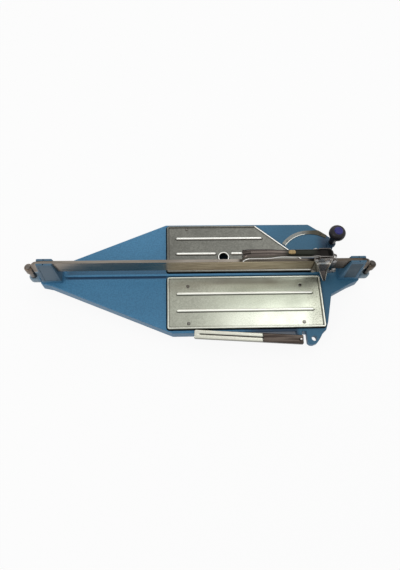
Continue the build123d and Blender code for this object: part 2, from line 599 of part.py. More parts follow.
def protractor_rivets():
    rivets = []
    for angle in SCALE_RIVETS:
        z = DECK_Z + SCALE_T
        rivets.append(upright(*scale_spot(angle), z, z + 0.7, 2) + upright(*scale_spot(angle), 27, z, 1.2))
    return group(rivets)


def support_frame():
    return Pos(SUPPORT_X, SUPPORT_Y, 0) * Rot(0, 0, SUPPORT_TURN)


def support_link():
    plan = block_sketch(-LINK_END, LINK_X1, -LINK_HALF, LINK_HALF)
    plan = fillet(plan.vertices().group_by(Axis.X)[0], 2)
    body = prism(plan, SUPPORT_Z0, SUPPORT_Z1)
    body = chamfer(body.edges().group_by(Axis.Z)[-1], 0.8)
    body += block(LINK_X1 - 1, TONGUE_X1, -TONGUE_HALF, TONGUE_HALF, SUPPORT_Z0, SUPPORT_Z1 - SHEET_T)
    return support_frame() * (body - upright(0, 0, 0, 50, SUPPORT_PIN_R + RUN))


def support_channel():
    length = CHANNEL_X1 - LINK_X1
    plan = Pos(LINK_X1 + length / 2, 0) * Rectangle(length, 2 * CHANNEL_HALF)
    plan = fillet(plan.vertices(), 3)
    body = prism(plan, CHANNEL_Z0, SUPPORT_Z1)
    body = chamfer(body.edges().group_by(Axis.Z)[-1], 0.8)
    trough = Pos(LINK_X1 + length / 2 - 3, 0) * Rectangle(length + 2, 2 * (CHANNEL_HALF - SHEET_T))
    body -= prism(trough, CHANNEL_Z0, SUPPORT_Z1 - SHEET_T)
    groove = Pos(LINK_X1 + length / 2 - 4, 0) * Rectangle(length - 8, GROOVE_W)
    return support_frame() * (body - prism(groove, SUPPORT_Z1 - GROOVE_D, SUPPORT_Z1))


def support_pivot_pin():
    head = upright(SUPPORT_X, SUPPORT_Y, SUPPORT_Z1 + SLIDE, SUPPORT_Z1 + 2.4, SUPPORT_PIN_HEAD_R)
    head = chamfer(head.edges().group_by(Axis.Z)[-1], 0.9)
    return head + upright(SUPPORT_X, SUPPORT_Y, TAB_Z0, SUPPORT_Z1 + SLIDE, SUPPORT_PIN_R)


PARTS = {
    "base_casting": base_casting(),
    "left_post": post(-1),
    "right_post": post(1),
    "post_bolts": post_bolts(),
    "rail": rail(),
    "rail_tie_bolts": rail_tie_bolts(),
    "tie_sleeves": tie_sleeves(),
    "rubber_feet": rubber_feet(),
    "front_plate": front_plate(),
    "front_guide_pins": guide_pins(FRONT_PINS),
    "front_pin_clips": pin_clips(FRONT_PINS),
    "front_plate_springs": plate_springs(FRONT_PINS),
    "rear_plate": rear_plate(),
    "rear_guide_pins": guide_pins(REAR_PINS),
    "rear_pin_clips": pin_clips(REAR_PINS),
    "rear_plate_springs": plate_springs(REAR_PINS),
    "carriage_front_plate": carriage_cheek(-1),
    "carriage_rear_plate": carriage_cheek(1),
    "roller_axles": roller_axles(),
    "upper_left_roller": roller(ROLLER_X[0], UPPER_Z, UPPER_R),
    "upper_right_roller": roller(ROLLER_X[1], UPPER_Z, UPPER_R),
    "lower_left_roller": roller(ROLLER_X[0], LOWER_Z, LOWER_R),
    "lower_right_roller": roller(ROLLER_X[1], LOWER_Z, LOWER_R),
    "lever_arm": lever_arm(),
    "handle_grip": handle_grip(),
    "lever_stud": lever_stud(),
    "lever_pivot_pin": lever_pivot_pin(),
    "pivot_spacers": pivot_spacers(),
    "breaker_fork": breaker_fork(),
    "fork_rivet": fork_rivet(),
    "wheel_holder": wheel_holder(),
    "wheel_axle": wheel_axle(),
    "scoring_wheel": scoring_wheel(),
    "protractor_scale": protractor_scale(),
    "protractor_rivets": protractor_rivets(),
    "fence_arm": fence_arm(),
    "fence_pivot_screw": fence_pivot_screw(),
    "clamp_stud": clamp_stud(),
    "locking_knob": locking_knob(),
    "knob_cap": knob_cap(),
    "support_link": support_link(),
    "support_channel": support_channel(),
    "support_pivot_pin": support_pivot_pin(),
}

for name, shape in PARTS.items():
    export_step(shape, f"parts/{name}.step")
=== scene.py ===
import math

import bpy
import numpy as np
from mathutils import Matrix, Vector


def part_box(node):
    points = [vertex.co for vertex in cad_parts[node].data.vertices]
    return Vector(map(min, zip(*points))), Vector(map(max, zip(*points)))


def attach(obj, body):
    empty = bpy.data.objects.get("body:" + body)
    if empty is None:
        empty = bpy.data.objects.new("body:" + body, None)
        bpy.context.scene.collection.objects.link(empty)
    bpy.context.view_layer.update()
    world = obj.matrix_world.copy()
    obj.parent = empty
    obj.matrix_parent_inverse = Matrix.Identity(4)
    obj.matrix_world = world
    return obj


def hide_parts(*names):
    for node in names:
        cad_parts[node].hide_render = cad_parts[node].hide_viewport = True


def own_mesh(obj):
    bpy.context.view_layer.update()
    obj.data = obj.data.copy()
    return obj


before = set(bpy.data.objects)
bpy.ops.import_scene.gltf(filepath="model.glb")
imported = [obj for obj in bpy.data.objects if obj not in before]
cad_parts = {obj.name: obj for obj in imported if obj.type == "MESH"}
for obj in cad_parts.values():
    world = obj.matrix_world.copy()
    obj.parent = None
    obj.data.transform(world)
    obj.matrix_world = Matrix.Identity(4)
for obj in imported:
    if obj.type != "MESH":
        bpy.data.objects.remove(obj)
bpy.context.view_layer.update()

# Base casting: one long diamond-shaped sand casting in semi-gloss blue paint, standing on the feet.
# It carries the wells for the plates, the breaking ridge, the front lug and the lobes at both ends.
# The paint is darker to the right as painted shade, the wells and the ridge's front carry painted shade, and
# painted shadows lie beside the rail, the knob, the lever and the side support.
BLUE_DEEP = (0.051, 0.184, 0.330)
BLUE_FACE = (0.076, 0.246, 0.420)
BLUE_SPECK = (0.030, 0.100, 0.190)
BLUE_RIGHT_SHADE = (0.021, 0.092, 0.154)
BLUE_WALL_SHADE = (0.042, 0.135, 0.235)
WELL_SHADE = (0.014, 0.022, 0.030)
RAIL_SHADOW_ON_DECK = (0.030, 0.062, 0.100)
RIDGE_SHADE = (0.013, 0.038, 0.088)
DECK_SHADOW = (0.012, 0.024, 0.052)
LOBE_PALE = (0.300, 0.350, 0.370)
SKIN_DEPTH, CORE_SHARE = 0.0004, 0.3


def link(tree, a, out, b, into):
    """Join a node's named output to another node's named input."""
    tree.links.new(a.outputs[out], b.inputs[into])


def shader_group(name, inputs, outputs):
    """An empty shader node group with named sockets: (name, socket type, default)."""
    group = bpy.data.node_groups.new(name, "ShaderNodeTree")
    for label, kind, value in inputs:
        socket = group.interface.new_socket(label, in_out="INPUT", socket_type=kind)
        if value is not None:
            socket.default_value = value
    for label, kind in outputs:
        group.interface.new_socket(label, in_out="OUTPUT", socket_type=kind)
    return group, group.nodes.new("NodeGroupInput"), group.nodes.new("NodeGroupOutput")


def mottle_group():
    """Soft patches: two sizes of noise, one for slow tone changes and one for the fine skin of the surface."""
    sockets = [("Vector", "NodeSocketVector", None), ("Patch Scale", "NodeSocketFloat", 9.0),
               ("Skin Scale", "NodeSocketFloat", 900.0), ("Low", "NodeSocketFloat", 0.3),
               ("High", "NodeSocketFloat", 0.5)]
    results = [(label, "NodeSocketFloat") for label in ("Patch", "Skin", "Roughness")]
    group, into, out = shader_group("mottle", sockets, results)
    patch, skin = group.nodes.new("ShaderNodeTexNoise"), group.nodes.new("ShaderNodeTexNoise")
    patch.inputs["Detail"].default_value = 4
    skin.inputs["Detail"].default_value = 2
    spread = group.nodes.new("ShaderNodeMapRange")
    spread.inputs["From Min"].default_value = 0.3
    spread.inputs["From Max"].default_value = 0.7
    for noise, scale in ((patch, "Patch Scale"), (skin, "Skin Scale")):
        link(group, into, "Vector", noise, "Vector")
        link(group, into, scale, noise, "Scale")
    link(group, patch, "Fac", spread, "Value")
    link(group, into, "Low", spread, "To Min")
    link(group, into, "High", spread, "To Max")
    link(group, patch, "Fac", out, "Patch")
    link(group, skin, "Fac", out, "Skin")
    link(group, spread, "Result", out, "Roughness")
    return group


def overlay_group():
    """Lay a second tone over a first one by a mask, thinned by an amount."""
    sockets = [("Tone", "NodeSocketColor", (1, 1, 1, 1)), ("Over", "NodeSocketColor", (0, 0, 0, 1)),
               ("Mask", "NodeSocketFloat", 0.0), ("Amount", "NodeSocketFloat", 1.0)]
    group, into, out = shader_group("overlay_tone", sockets, [("Tone", "NodeSocketColor")])
    weight = group.nodes.new("ShaderNodeMath")
    weight.operation = "MULTIPLY"
    weight.use_clamp = True
    mix = group.nodes.new("ShaderNodeMix")
    mix.data_type = "RGBA"
    group.links.new(into.outputs["Mask"], weight.inputs[0])
    group.links.new(into.outputs["Amount"], weight.inputs[1])
    group.links.new(weight.outputs[0], mix.inputs["Factor"])
    group.links.new(into.outputs["Tone"], mix.inputs["A"])
    group.links.new(into.outputs["Over"], mix.inputs["B"])
    group.links.new(mix.outputs["Result"], out.inputs["Tone"])
    return group


MOTTLE, OVERLAY = mottle_group(), overlay_group()


def finish_material(name, dark, light, rough, metallic=0.0, specular=0.5, bump=0.0, patch=9.0, skin=900.0,
                    stretch=(1, 1, 1)):
    """One finish: two tones mixed by slow patches, roughness between two limits, and a fine skin as bump."""
    mat = bpy.data.materials.new(name)
    mat.use_nodes = True
    tree = mat.node_tree
    bsdf = tree.nodes["Principled BSDF"]
    bsdf.inputs["Metallic"].default_value = metallic
    bsdf.inputs["Specular IOR Level"].default_value = specular
    coords = tree.nodes.new("ShaderNodeTexCoord")
    place = tree.nodes.new("ShaderNodeMapping")
    place.inputs["Scale"].default_value = stretch
    mottle = tree.nodes.new("ShaderNodeGroup")
    mottle.node_tree = MOTTLE
    mottle.name = "mottle"
    for label, value in (("Patch Scale", patch), ("Skin Scale", skin), ("Low", rough[0]), ("High", rough[1])):
        mottle.inputs[label].default_value = value
    tone = tree.nodes.new("ShaderNodeMix")
    tone.data_type = "RGBA"
    tone.inputs["A"].default_value = (*dark, 1)
    tone.inputs["B"].default_value = (*light, 1)
    link(tree, coords, "Object", place, "Vector")
    link(tree, place, "Vector", mottle, "Vector")
    link(tree, mottle, "Patch", tone, "Factor")
    link(tree, tone, "Result", bsdf, "Base Color")
    link(tree, mottle, "Roughness", bsdf, "Roughness")
    if bump:
        relief = tree.nodes.new("ShaderNodeBump")
        relief.inputs["Strength"].default_value = bump
        relief.inputs["Distance"].default_value = SKIN_DEPTH
        link(tree, mottle, "Skin", relief, "Height")
        link(tree, relief, "Normal", bsdf, "Normal")
    return mat


def ramp(tree, value, low, high):
    """A smooth 0 to 1 step of a value between low and high."""
    step = tree.nodes.new("ShaderNodeMapRange")
    step.interpolation_type = "SMOOTHSTEP"
    step.inputs["From Min"].default_value = low
    step.inputs["From Max"].default_value = high
    tree.links.new(value, step.inputs["Value"])
    return step.outputs["Result"]


def axis_value(tree, axis):
    """One Object coordinate of the surface point, in metres."""
    split = tree.nodes.new("ShaderNodeSeparateXYZ")
    link(tree, tree.nodes["Texture Coordinate"], "Object", split, "Vector")
    return split.outputs[axis]


def along(axis, low, high):
    """A mask on one coordinate, in metres: 0 at low and 1 at high."""
    return lambda tree: ramp(tree, axis_value(tree, axis), low, high)


def close_to(axis, centre, reach):
    """A mask on one coordinate, in metres: 1 about the centre, falling smoothly to 0 at the reach on both sides."""
    def mask(tree):
        away, size = tree.nodes.new("ShaderNodeMath"), tree.nodes.new("ShaderNodeMath")
        away.operation, size.operation = "SUBTRACT", "ABSOLUTE"
        away.inputs[1].default_value = centre
        tree.links.new(axis_value(tree, axis), away.inputs[0])
        tree.links.new(away.outputs[0], size.inputs[0])
        return ramp(tree, size.outputs[0], reach, CORE_SHARE * reach)
    return mask


def facing(low, high):
    """A mask on the height part of the normal: 0 at low and 1 at high."""
    def mask(tree):
        shape = tree.nodes.new("ShaderNodeNewGeometry")
        split = tree.nodes.new("ShaderNodeSeparateXYZ")
        link(tree, shape, "Normal", split, "Vector")
        return ramp(tree, split.outputs["Z"], low, high)
    return mask


def noisy(output, low, high):
    """A mask on the finish's own noise, its slow Patch or its fine Skin: 0 at low and 1 at high."""
    return lambda tree: ramp(tree, tree.nodes["mottle"].outputs[output], low, high)


LEVEL, UPRIGHT = facing(0.5, 0.9), facing(0.85, 0.25)


def lay_tone(mat, colour, amount, *masks):
    """Lay a tone over the finish through the overlay group, where all the masks meet."""
    tree = mat.node_tree
    meet = masks[0](tree)
    for mask in masks[1:]:
        times = tree.nodes.new("ShaderNodeMath")
        times.operation = "MULTIPLY"
        tree.links.new(meet, times.inputs[0])
        tree.links.new(mask(tree), times.inputs[1])
        meet = times.outputs[0]
    base = tree.nodes["Principled BSDF"].inputs["Base Color"]
    under = base.links[0].from_socket
    over = tree.nodes.new("ShaderNodeGroup")
    over.node_tree = OVERLAY
    over.inputs["Over"].default_value = (*colour, 1)
    over.inputs["Amount"].default_value = amount
    tree.links.new(under, over.inputs["Tone"])
    tree.links.new(meet, over.inputs["Mask"])
    tree.links.new(over.outputs["Tone"], base)


def casting_paint(name):
    """Blue paint on a casting: speckled, with painted shade that darkens it to the right and on upright walls."""
    mat = finish_material(name, BLUE_DEEP, BLUE_FACE, rough=(0.34, 0.5), specular=0.3, bump=0.25, patch=6.0,
                          skin=360.0)
    lay_tone(mat, BLUE_SPECK, 0.34, noisy("Skin", 0.40, 0.64))
    # Painted shade: darker to the right and on upright walls.
    lay_tone(mat, BLUE_RIGHT_SHADE, 0.75, along("X", 0.05, 0.20))
    lay_tone(mat, BLUE_WALL_SHADE, 0.75, UPRIGHT)
    return mat


def dress(material, *nodes):
    """Give CAD nodes one finish."""
    for node in nodes:
        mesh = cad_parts[node].data
        mesh.materials.clear()
        mesh.materials.append(material)


base_paint = casting_paint("base_paint")
well_floor = LEVEL, along("Z", 0.0265, 0.0235)
ridge_length = along("X", -0.288, -0.275), along("X", -0.070, -0.078)
beside_support = along("Y", -0.119, -0.121), along("X", 0.060, 0.120), along("X", 0.196, 0.186)
round_knob = LEVEL, close_to("X", 0.280, 0.030), close_to("Y", 0.070, 0.036)
behind_lever = LEVEL, close_to("X", 0.234, 0.036), close_to("Y", 0.040, 0.012)
# Painted shade on the well floors under the plates.
lay_tone(base_paint, WELL_SHADE, 0.9, *well_floor)
# Painted shadow of the rail on the deck behind the ridge.
lay_tone(base_paint, RAIL_SHADOW_ON_DECK, 0.6, close_to("Y", 0.0085, 0.0085), *ridge_length)
# Painted shade on the ridge's front slope and on the deck at its foot.
lay_tone(base_paint, RIDGE_SHADE, 0.9, close_to("Y", -0.0044, 0.0033), *ridge_length)
# Painted shadows on the deck: beside the side support, round the knob and behind the lever.
lay_tone(base_paint, DECK_SHADOW, 0.85, *beside_support)
lay_tone(base_paint, DECK_SHADOW, 0.75, *round_knob)
lay_tone(base_paint, DECK_SHADOW, 0.85, *behind_lever)
lay_tone(base_paint, LOBE_PALE, 0.6, along("X", -0.330, -0.342))
lay_tone(base_paint, LOBE_PALE, 0.6, along("X", 0.330, 0.342))
dress(base_paint, "base_casting")

# Rubber feet: six moulded pads pushed into the underside by their stems.
# Black rubber with a dull skin.
black_rubber = finish_material("black_rubber", (0.012, 0.012, 0.012), (0.02, 0.02, 0.02), rough=(0.7, 0.85),
                               bump=0.2)
dress(black_rubber, "rubber_feet")

# End posts: two forked castings in the same blue, bolted down from below, with the rail in their slots.
# Brown dust from the rail lies on them, thickest on the left one.
# The sunk panel of each front and rear face is left rough from the sand and holds grey dust.
MM = 0.001
POST_X, POST_FACE_Y, POST_MIDDLE_Z = 310.75, 10.9, 67.0
PANEL_HALF, PANEL_SINK, PANEL_LEAN = (12.1, 27.4), 0.9, math.radians(5.55)
POST_DUST = (0.075, 0.060, 0.034)
PANEL_RIGHT_SHADE = (0.012, 0.037, 0.058)
SHARP_EDGE = math.radians(50)


def sheet(points, wrap_u=False, wrap_v=False, keep=None, painted_light=0.0):
    """Points on a grid (rows u, columns v, in millimetres) as (points, quads, painted light).

    wrap joins the last row or column to the first, and keep picks quads by their middle points."""
    rows, cols = points.shape[:2]
    index = np.arange(rows * cols).reshape(rows, cols)
    index = np.concatenate([index, index[:1]]) if wrap_u else index
    index = np.concatenate([index, index[:, :1]], axis=1) if wrap_v else index
    quads = np.stack([index[:-1, :-1], index[1:, :-1], index[1:, 1:], index[:-1, 1:]], axis=-1).reshape(-1, 4)
    flat = points.reshape(-1, 3)
    if keep is not None:
        quads = quads[keep(flat[quads].mean(axis=1))]
    return flat, quads, np.broadcast_to(painted_light, (rows, cols)).reshape(-1)


def piece(name, body, slot, material, *sheets, replaces=(), thick=0.0):
    """One object from sheets: their points and quads end to end, smooth, with the painted light kept on the points:
    painted shade above 0 and painted highlight below 0.
    """
    counts = np.cumsum([0] + [len(s[0]) for s in sheets])
    points = np.concatenate([s[0] for s in sheets]) * MM
    quads = np.concatenate([s[1] + n for s, n in zip(sheets, counts)])
    mesh = bpy.data.meshes.new(name)
    mesh.from_pydata(points.tolist(), [], quads.tolist())
    mesh.polygons.foreach_set("use_smooth", np.ones(len(quads), dtype=bool))
    painted_light = np.concatenate([s[2] for s in sheets]).astype(np.float32)
    mesh.attributes.new("painted_light", "FLOAT", "POINT").data.foreach_set("value", painted_light)
    mesh.materials.append(material)
    mesh.update()
    mesh.set_sharp_from_angle(angle=SHARP_EDGE)
    made = bpy.data.objects.new(name, mesh)
    bpy.context.collection.objects.link(made)
    if thick:
        wall = made.modifiers.new("wall", "SOLIDIFY")
        wall.thickness = thick * MM
        wall.offset = -1
    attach(made, body)
    for node in replaces:
        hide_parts(node)
    return made


def post_panel(side, face):
    """A flat grid in the sunk panel, leaned back like the face: y = y0 - w sin(lean), z = z0 + w cos(lean)."""
    u, w = np.meshgrid(np.linspace(-1, 1, 9) * PANEL_HALF[0], np.linspace(-1, 1, 15) * PANEL_HALF[1], indexing="ij")
    lean, sink = face * PANEL_LEAN, -face * PANEL_SINK
    x = side * POST_X - face * u
    y = face * POST_FACE_Y + sink * math.cos(lean) - w * math.sin(lean)
    z = POST_MIDDLE_Z + sink * math.sin(lean) + w * math.cos(lean)
    return sheet(np.stack([x, y, z], axis=-1))


post_paint = casting_paint("post_paint")
lay_tone(post_paint, POST_DUST, 0.45, along("Z", 0.034, 0.042), along("X", 0.65, -0.1))
dress(post_paint, "left_post", "right_post")
rough_panel = finish_material("rough_panel", (0.050, 0.095, 0.140), (0.110, 0.155, 0.195), rough=(0.5, 0.7),
                              bump=0.9, patch=70.0, skin=600.0)
# Painted shade: the right post's panels are darker.
lay_tone(rough_panel, PANEL_RIGHT_SHADE, 0.85, along("X", 0.2, 0.3))
piece("post_panels", "frame", "blue_paint", rough_panel, *[post_panel(s, f) for s in (-1, 1) for f in (-1, 1)])
plain_steel = finish_material("plain_steel", (0.30, 0.29, 0.28), (0.42, 0.41, 0.40), rough=(0.3, 0.45),
                              metallic=1.0, bump=0.1)
dress(plain_steel, "post_bolts")

# Rail: one ground flat bar on edge, with a round eye at each end on a tie bolt and sleeve.
# Steel with a brown oil film, drawn lengthwise by the rollers, that thickens towards the right end.
RAIL_RUBBED, RAIL_FILM, RAIL_STREAK = (0.40, 0.34, 0.28), (0.80, 0.64, 0.50), (0.34, 0.25, 0.17)
RAIL_BROWN, RAIL_DARK, RAIL_LEVER_SHADOW = (0.22, 0.17, 0.12), (0.15, 0.12, 0.085), (0.050, 0.042, 0.034)
RAIL_LEFT_END, RAIL_RIGHT_END = (0.11, 0.08, 0.06), (0.055, 0.040, 0.028)
BOLT_OIL = (0.030, 0.027, 0.024)
rail_steel = finish_material("rail_steel", (0.13, 0.110, 0.090), (0.31, 0.28, 0.245), rough=(0.24, 0.4),
                             metallic=1.0, bump=0.15, patch=230.0, skin=500.0, stretch=(0.08, 1, 1))
oiled_face = UPRIGHT, along("X", -0.15, 0.0)
lay_tone(rail_steel, RAIL_RUBBED, 0.35, UPRIGHT)
lay_tone(rail_steel, RAIL_FILM, 0.68, *oiled_face)
lay_tone(rail_steel, RAIL_STREAK, 0.65, *oiled_face, noisy("Patch", 0.44, 0.62))
lay_tone(rail_steel, RAIL_BROWN, 0.62, *oiled_face, along("X", 0.09, 0.21))
lay_tone(rail_steel, RAIL_DARK, 0.5, *oiled_face, along("X", 0.165, 0.215))
lay_tone(rail_steel, RAIL_RIGHT_END, 0.85, along("X", 0.232, 0.252))
lay_tone(rail_steel, RAIL_LEFT_END, 0.7, along("X", -0.325, -0.34))
# Painted shadow of the lever on the rail's top, from under the grip rightwards.
lay_tone(rail_steel, RAIL_LEVER_SHADOW, 0.9, LEVEL, along("X", 0.066, 0.076))
dress(rail_steel, "rail")
oiled_steel = finish_material("oiled_steel", (0.10, 0.09, 0.08), (0.20, 0.18, 0.165), rough=(0.22, 0.36),
                              metallic=1.0, bump=0.1, patch=40.0)
lay_tone(oiled_steel, BOLT_OIL, 0.85, along("X", 0.2, 0.3))
dress(oiled_steel, "rail_tie_bolts", "tie_sleeves")

# Floating plates: two sheets of zinc plated steel, pressed with a rolled rim and stiffening beads.
# They ride on guide pins over coil springs, and the rear one has a raised eyelet and a slanted end.
# Painted shade lies in the pressed corners and under the beads, and the tops carry painted highlights.
SKIRT_Z, SKIRT_TURN, SHEET_Z, SHEET_THICK, RIGHT_PART = 26.0, 3.0, 34.0, 1.2, 40
RIM_RISE, RIM_WIDTH, RIM_TUCK, PANEL_INSET, ARC_STEPS = 2.0, 4.4, 0.4, 2.6, 10
RIM_SHADE_OUTER, RIM_SHADE_INNER, SKIRT_SHADE, TUCK_SHADE = 0.7, 0.4, (1.0, 0.8), 0.5
BEAD_HALF, BEAD_RISE, BEAD_HIGHLIGHT = 2.7, 1.9, 1.25
BEAD_SHADE_AWAY, BEAD_SHADE_WIDTH, BEAD_SHADE_REAR = 1.0, 1.2, 0.12
FOOT_SHADE_AWAY, FOOT_SHADE_WIDTH = 2.8, 0.9
DIMPLE_DEPTH, DIMPLE_R, PIN_SHADE, PIN_SHADE_R, PIN_SHADE_WIDTH = 0.5, 3.6, 0.7, 3.2, 0.6
FRONT_CORNERS, FRONT_ROUNDS = [(-74, -119.3), (249.5, -119.3), (249.5, -5.5), (-74, -5.5)], [5, 5, 5, 5]
FRONT_CREST_HIGHLIGHT, FRONT_FOOT_SHADE = [0.45, 0.5, 0.5, 0.65, 0.65, 0.5, 0.5, 0.45], (0.38, 1.15, 0.42, 0.35)
FRONT_BEADS = [(-54, 229, -43), (-54, 228, -80)]
FRONT_PINS = [(-31, -26.5), (205, -26.5), (-31, -108), (205, -108)]
REAR_CORNERS, REAR_ROUNDS = [(-74, 5.5), (250, 5.5), (120, 116), (-74, 116)], [5, 7, 5, 5]
REAR_CREST_HIGHLIGHT, REAR_FOOT_SHADE = [0.15, 0.2, 0.5, 0.9, 0.9, 0.2, 0.1, 0.1], (0.5, 0.0, 0.3, 0.5)
REAR_BEADS = [(-54, 133, 85), (-54, 31, 48.5), (63, 172, 48.5)]
REAR_PINS = [(-31, 26.5), (196, 26.5), (-31, 108), (150, 38.5)]
SHEET_LINES_X, SHEET_LINES_Y = 110, 40
EYELET_X, EYELET_Y, EYELET_R, EYELET_HOLE, EYELET_RISE, EYELET_CUT = 47.0, 39.5, 13.0, 8.8, 2.3, 10.6
EYELET_THROAT, EYELET_SHADE, EYELET_HIGHLIGHT, THROAT_SHADE = (1.0, 5.0), 0.6, 0.8, [0.9, 1.0]
SPRING_R, SPRING_WIRE, SPRING_TURNS, SPRING_FOOT, SPRING_TOP = 4.7, 0.6, 3, 20.0, 32.7
TURN_POINTS, PLATE_TRAVEL, SPRING_SLACK = 24, 4.0, 0.1
OFF_ALL_PATHS = np.array([0.31, 0.17, 0.93])
SPANGLE_SCALE, SPANGLE_SHADE, SHADE_TONE = 330, 0.75, (0.03, 0.028, 0.024)
ZINC_RIGHT_HIGHLIGHT, ZINC_DARK_REFLECTION, ZINC_FRONT_HIGHLIGHT = (0.605, 0.655, 0.530), (0.16, 0.145, 0.125), (0.80, 0.81, 0.73)
ZINC_DULL, ZINC_FLECK, ZINC_PIT = (0.36, 0.36, 0.29), (0.24, 0.25, 0.20), (0.08, 0.08, 0.06)
FRONT_HIGHLIGHT_TONE, REAR_HIGHLIGHT_TONE = (0.86, 0.87, 0.80), (0.74, 0.74, 0.70)


def rounded_outline(corners, rounds, inset):
    """Points round a convex outline moved in by inset.

    Each corner is an arc of radius r - inset about the point that lies r from both of its edges."""
    p = np.array(corners, dtype=float)
    edge = np.roll(p, -1, axis=0) - p
    edge /= np.linalg.norm(edge, axis=1)[:, None]
    after = np.stack([edge[:, 1], -edge[:, 0]], axis=1)
    before = np.roll(after, 1, axis=0)
    r = np.array(rounds, dtype=float)[:, None]
    centre = p - r * (before + after) / (1 + (before * after).sum(axis=1, keepdims=True))
    start = np.arctan2(before[:, 1], before[:, 0])
    turn = (np.arctan2(after[:, 1], after[:, 0]) - start) % (2 * np.pi)
    a = start[:, None] + turn[:, None] * np.linspace(0, 1, ARC_STEPS)
    arcs = centre[:, None] + (r - inset)[:, :, None] * np.stack([np.cos(a), np.sin(a)], axis=-1)
    return arcs.reshape(-1, 2)


def plate_rim(corners, rounds, highlight):
    """The skirt and rolled rim: a half ellipse, RIM_WIDTH wide and RIM_RISE high, carried round the outline.

    highlight is how strong the crest's painted highlight is, twice for each corner: before its turn and after it."""
    t = np.linspace(0, np.pi, 17)
    inset = np.concatenate([[0.0, 0.0], RIM_WIDTH / 2 * (1 - np.cos(t)), [RIM_WIDTH + RIM_TUCK]])
    z = np.concatenate([[SKIRT_Z, SHEET_Z - SKIRT_TURN], SHEET_Z + RIM_RISE * np.sin(t), [SHEET_Z - RIM_TUCK]])
    # Painted shade on the rim's flanks, the skirt and the tuck, and a painted highlight on its crest.
    shading = np.where(t < np.pi / 2, RIM_SHADE_OUTER, RIM_SHADE_INNER) * np.abs(np.cos(t)) ** 4
    highlight = np.repeat(np.asarray(highlight, dtype=float), ARC_STEPS // 2)[:, None]
    painted_light = shading - highlight * np.sin(t) ** 4
    ends = np.ones((len(painted_light), 1))
    painted_light = np.concatenate([SKIRT_SHADE[0] * ends, SKIRT_SHADE[1] * ends, painted_light, TUCK_SHADE * ends], axis=1)
    rings = np.stack([rounded_outline(corners, rounds, i) for i in inset], axis=1)
    points = np.concatenate([rings, np.broadcast_to(z[:, None], rings.shape[:2] + (1,))], axis=-1)
    return sheet(points, wrap_u=True, painted_light=painted_light)


def plate_panel(corners, rounds, beads, pins, foot_shade, hole=None):
    """The sheet: height = BEAD_RISE * sqrt(1 - (d / BEAD_HALF)^2), where d is the distance to a bead's centre line.

    foot_shade is how much painted shade lies along the rim's inner foot at the left, right, front and rear.
    The grid's lines crowd at the beads, the pins and the rim."""
    edge = rounded_outline(corners, rounds, PANEL_INSET)
    low, high = edge.min(axis=0), edge.max(axis=0)
    over_bead = np.sin(np.linspace(-np.pi / 2, np.pi / 2, 11)) * BEAD_HALF
    beside_bead = BEAD_HALF + np.linspace(0.3, 3.0, 7)
    over_pin, along_rim = np.linspace(-5, 5, 11), np.linspace(0.6, 5.4, 9)
    xs = [np.linspace(low[0], high[0], SHEET_LINES_X), low[0] + along_rim, high[0] - along_rim]
    ys = [np.linspace(low[1], high[1], SHEET_LINES_Y), low[1] + along_rim, high[1] - along_rim]
    for x0, x1, yb in beads:
        xs += [x0 + (BEAD_HALF + over_bead), x1 - (BEAD_HALF + over_bead)]
        ys += [yb + over_bead, yb - beside_bead, yb + beside_bead]
    for px, py in pins:
        xs.append(px + over_pin)
        ys.append(py + over_pin)
    x, y = np.meshgrid(*[np.unique(np.concatenate(lines).round(2)) for lines in (xs, ys)], indexing="ij")
    y = np.clip(y, low[1], high[1])
    right_side = edge[edge[:, 0] > low[0] + RIGHT_PART]
    right_side = right_side[np.argsort(right_side[:, 1])]
    x = np.clip(x, low[0], np.interp(y, right_side[:, 1], right_side[:, 0]))
    height, painted_light = np.zeros_like(x), np.zeros_like(x)
    for x0, x1, yb in beads:
        d = np.hypot(x - np.clip(x, x0 + BEAD_HALF, x1 - BEAD_HALF), y - yb)
        height = np.maximum(height, BEAD_RISE * np.sqrt(np.clip(1 - (d / BEAD_HALF) ** 2, 0, 1)))
        # Painted shade along the front of each bead and a painted highlight on its top.
        shading = np.exp(-((d - BEAD_HALF - BEAD_SHADE_AWAY) / BEAD_SHADE_WIDTH) ** 2)
        painted_light += shading * np.where(y < yb, 1.0, BEAD_SHADE_REAR) - np.clip(BEAD_HIGHLIGHT - (d / BEAD_HALF) ** 2, 0, 1)
    # Painted shade along the rim's inner foot.
    for amount, away in zip(foot_shade, (x - low[0], high[0] - x, y - low[1], high[1] - y)):
        painted_light += amount * np.exp(-((away - FOOT_SHADE_AWAY) / FOOT_SHADE_WIDTH) ** 2)
    # A dimple at each pin, ringed with painted shade.
    for px, py in pins:
        d = np.hypot(x - px, y - py)
        height -= DIMPLE_DEPTH * np.exp(-(d / DIMPLE_R) ** 4)
        painted_light += PIN_SHADE * np.exp(-((d - PIN_SHADE_R) / PIN_SHADE_WIDTH) ** 2)
    keep = (lambda c: np.hypot(c[:, 0] - hole[0], c[:, 1] - hole[1]) > hole[2]) if hole else None
    return sheet(np.stack([x, y, SHEET_Z + height], axis=-1), keep=keep, painted_light=painted_light)


def turned(x, y, radii, heights, segments=48, painted_light=0.0):
    """A surface of revolution about an upright line: x + r cos a, y + r sin a, and z.

    Each ring has its own radius and height."""
    a = np.linspace(0, 2 * np.pi, segments + 1)[:-1]
    z = np.broadcast_to(heights, (segments, len(radii)))
    points = np.stack([x + np.outer(np.cos(a), radii), y + np.outer(np.sin(a), radii), z], axis=-1)
    return sheet(points, wrap_u=True, painted_light=painted_light)


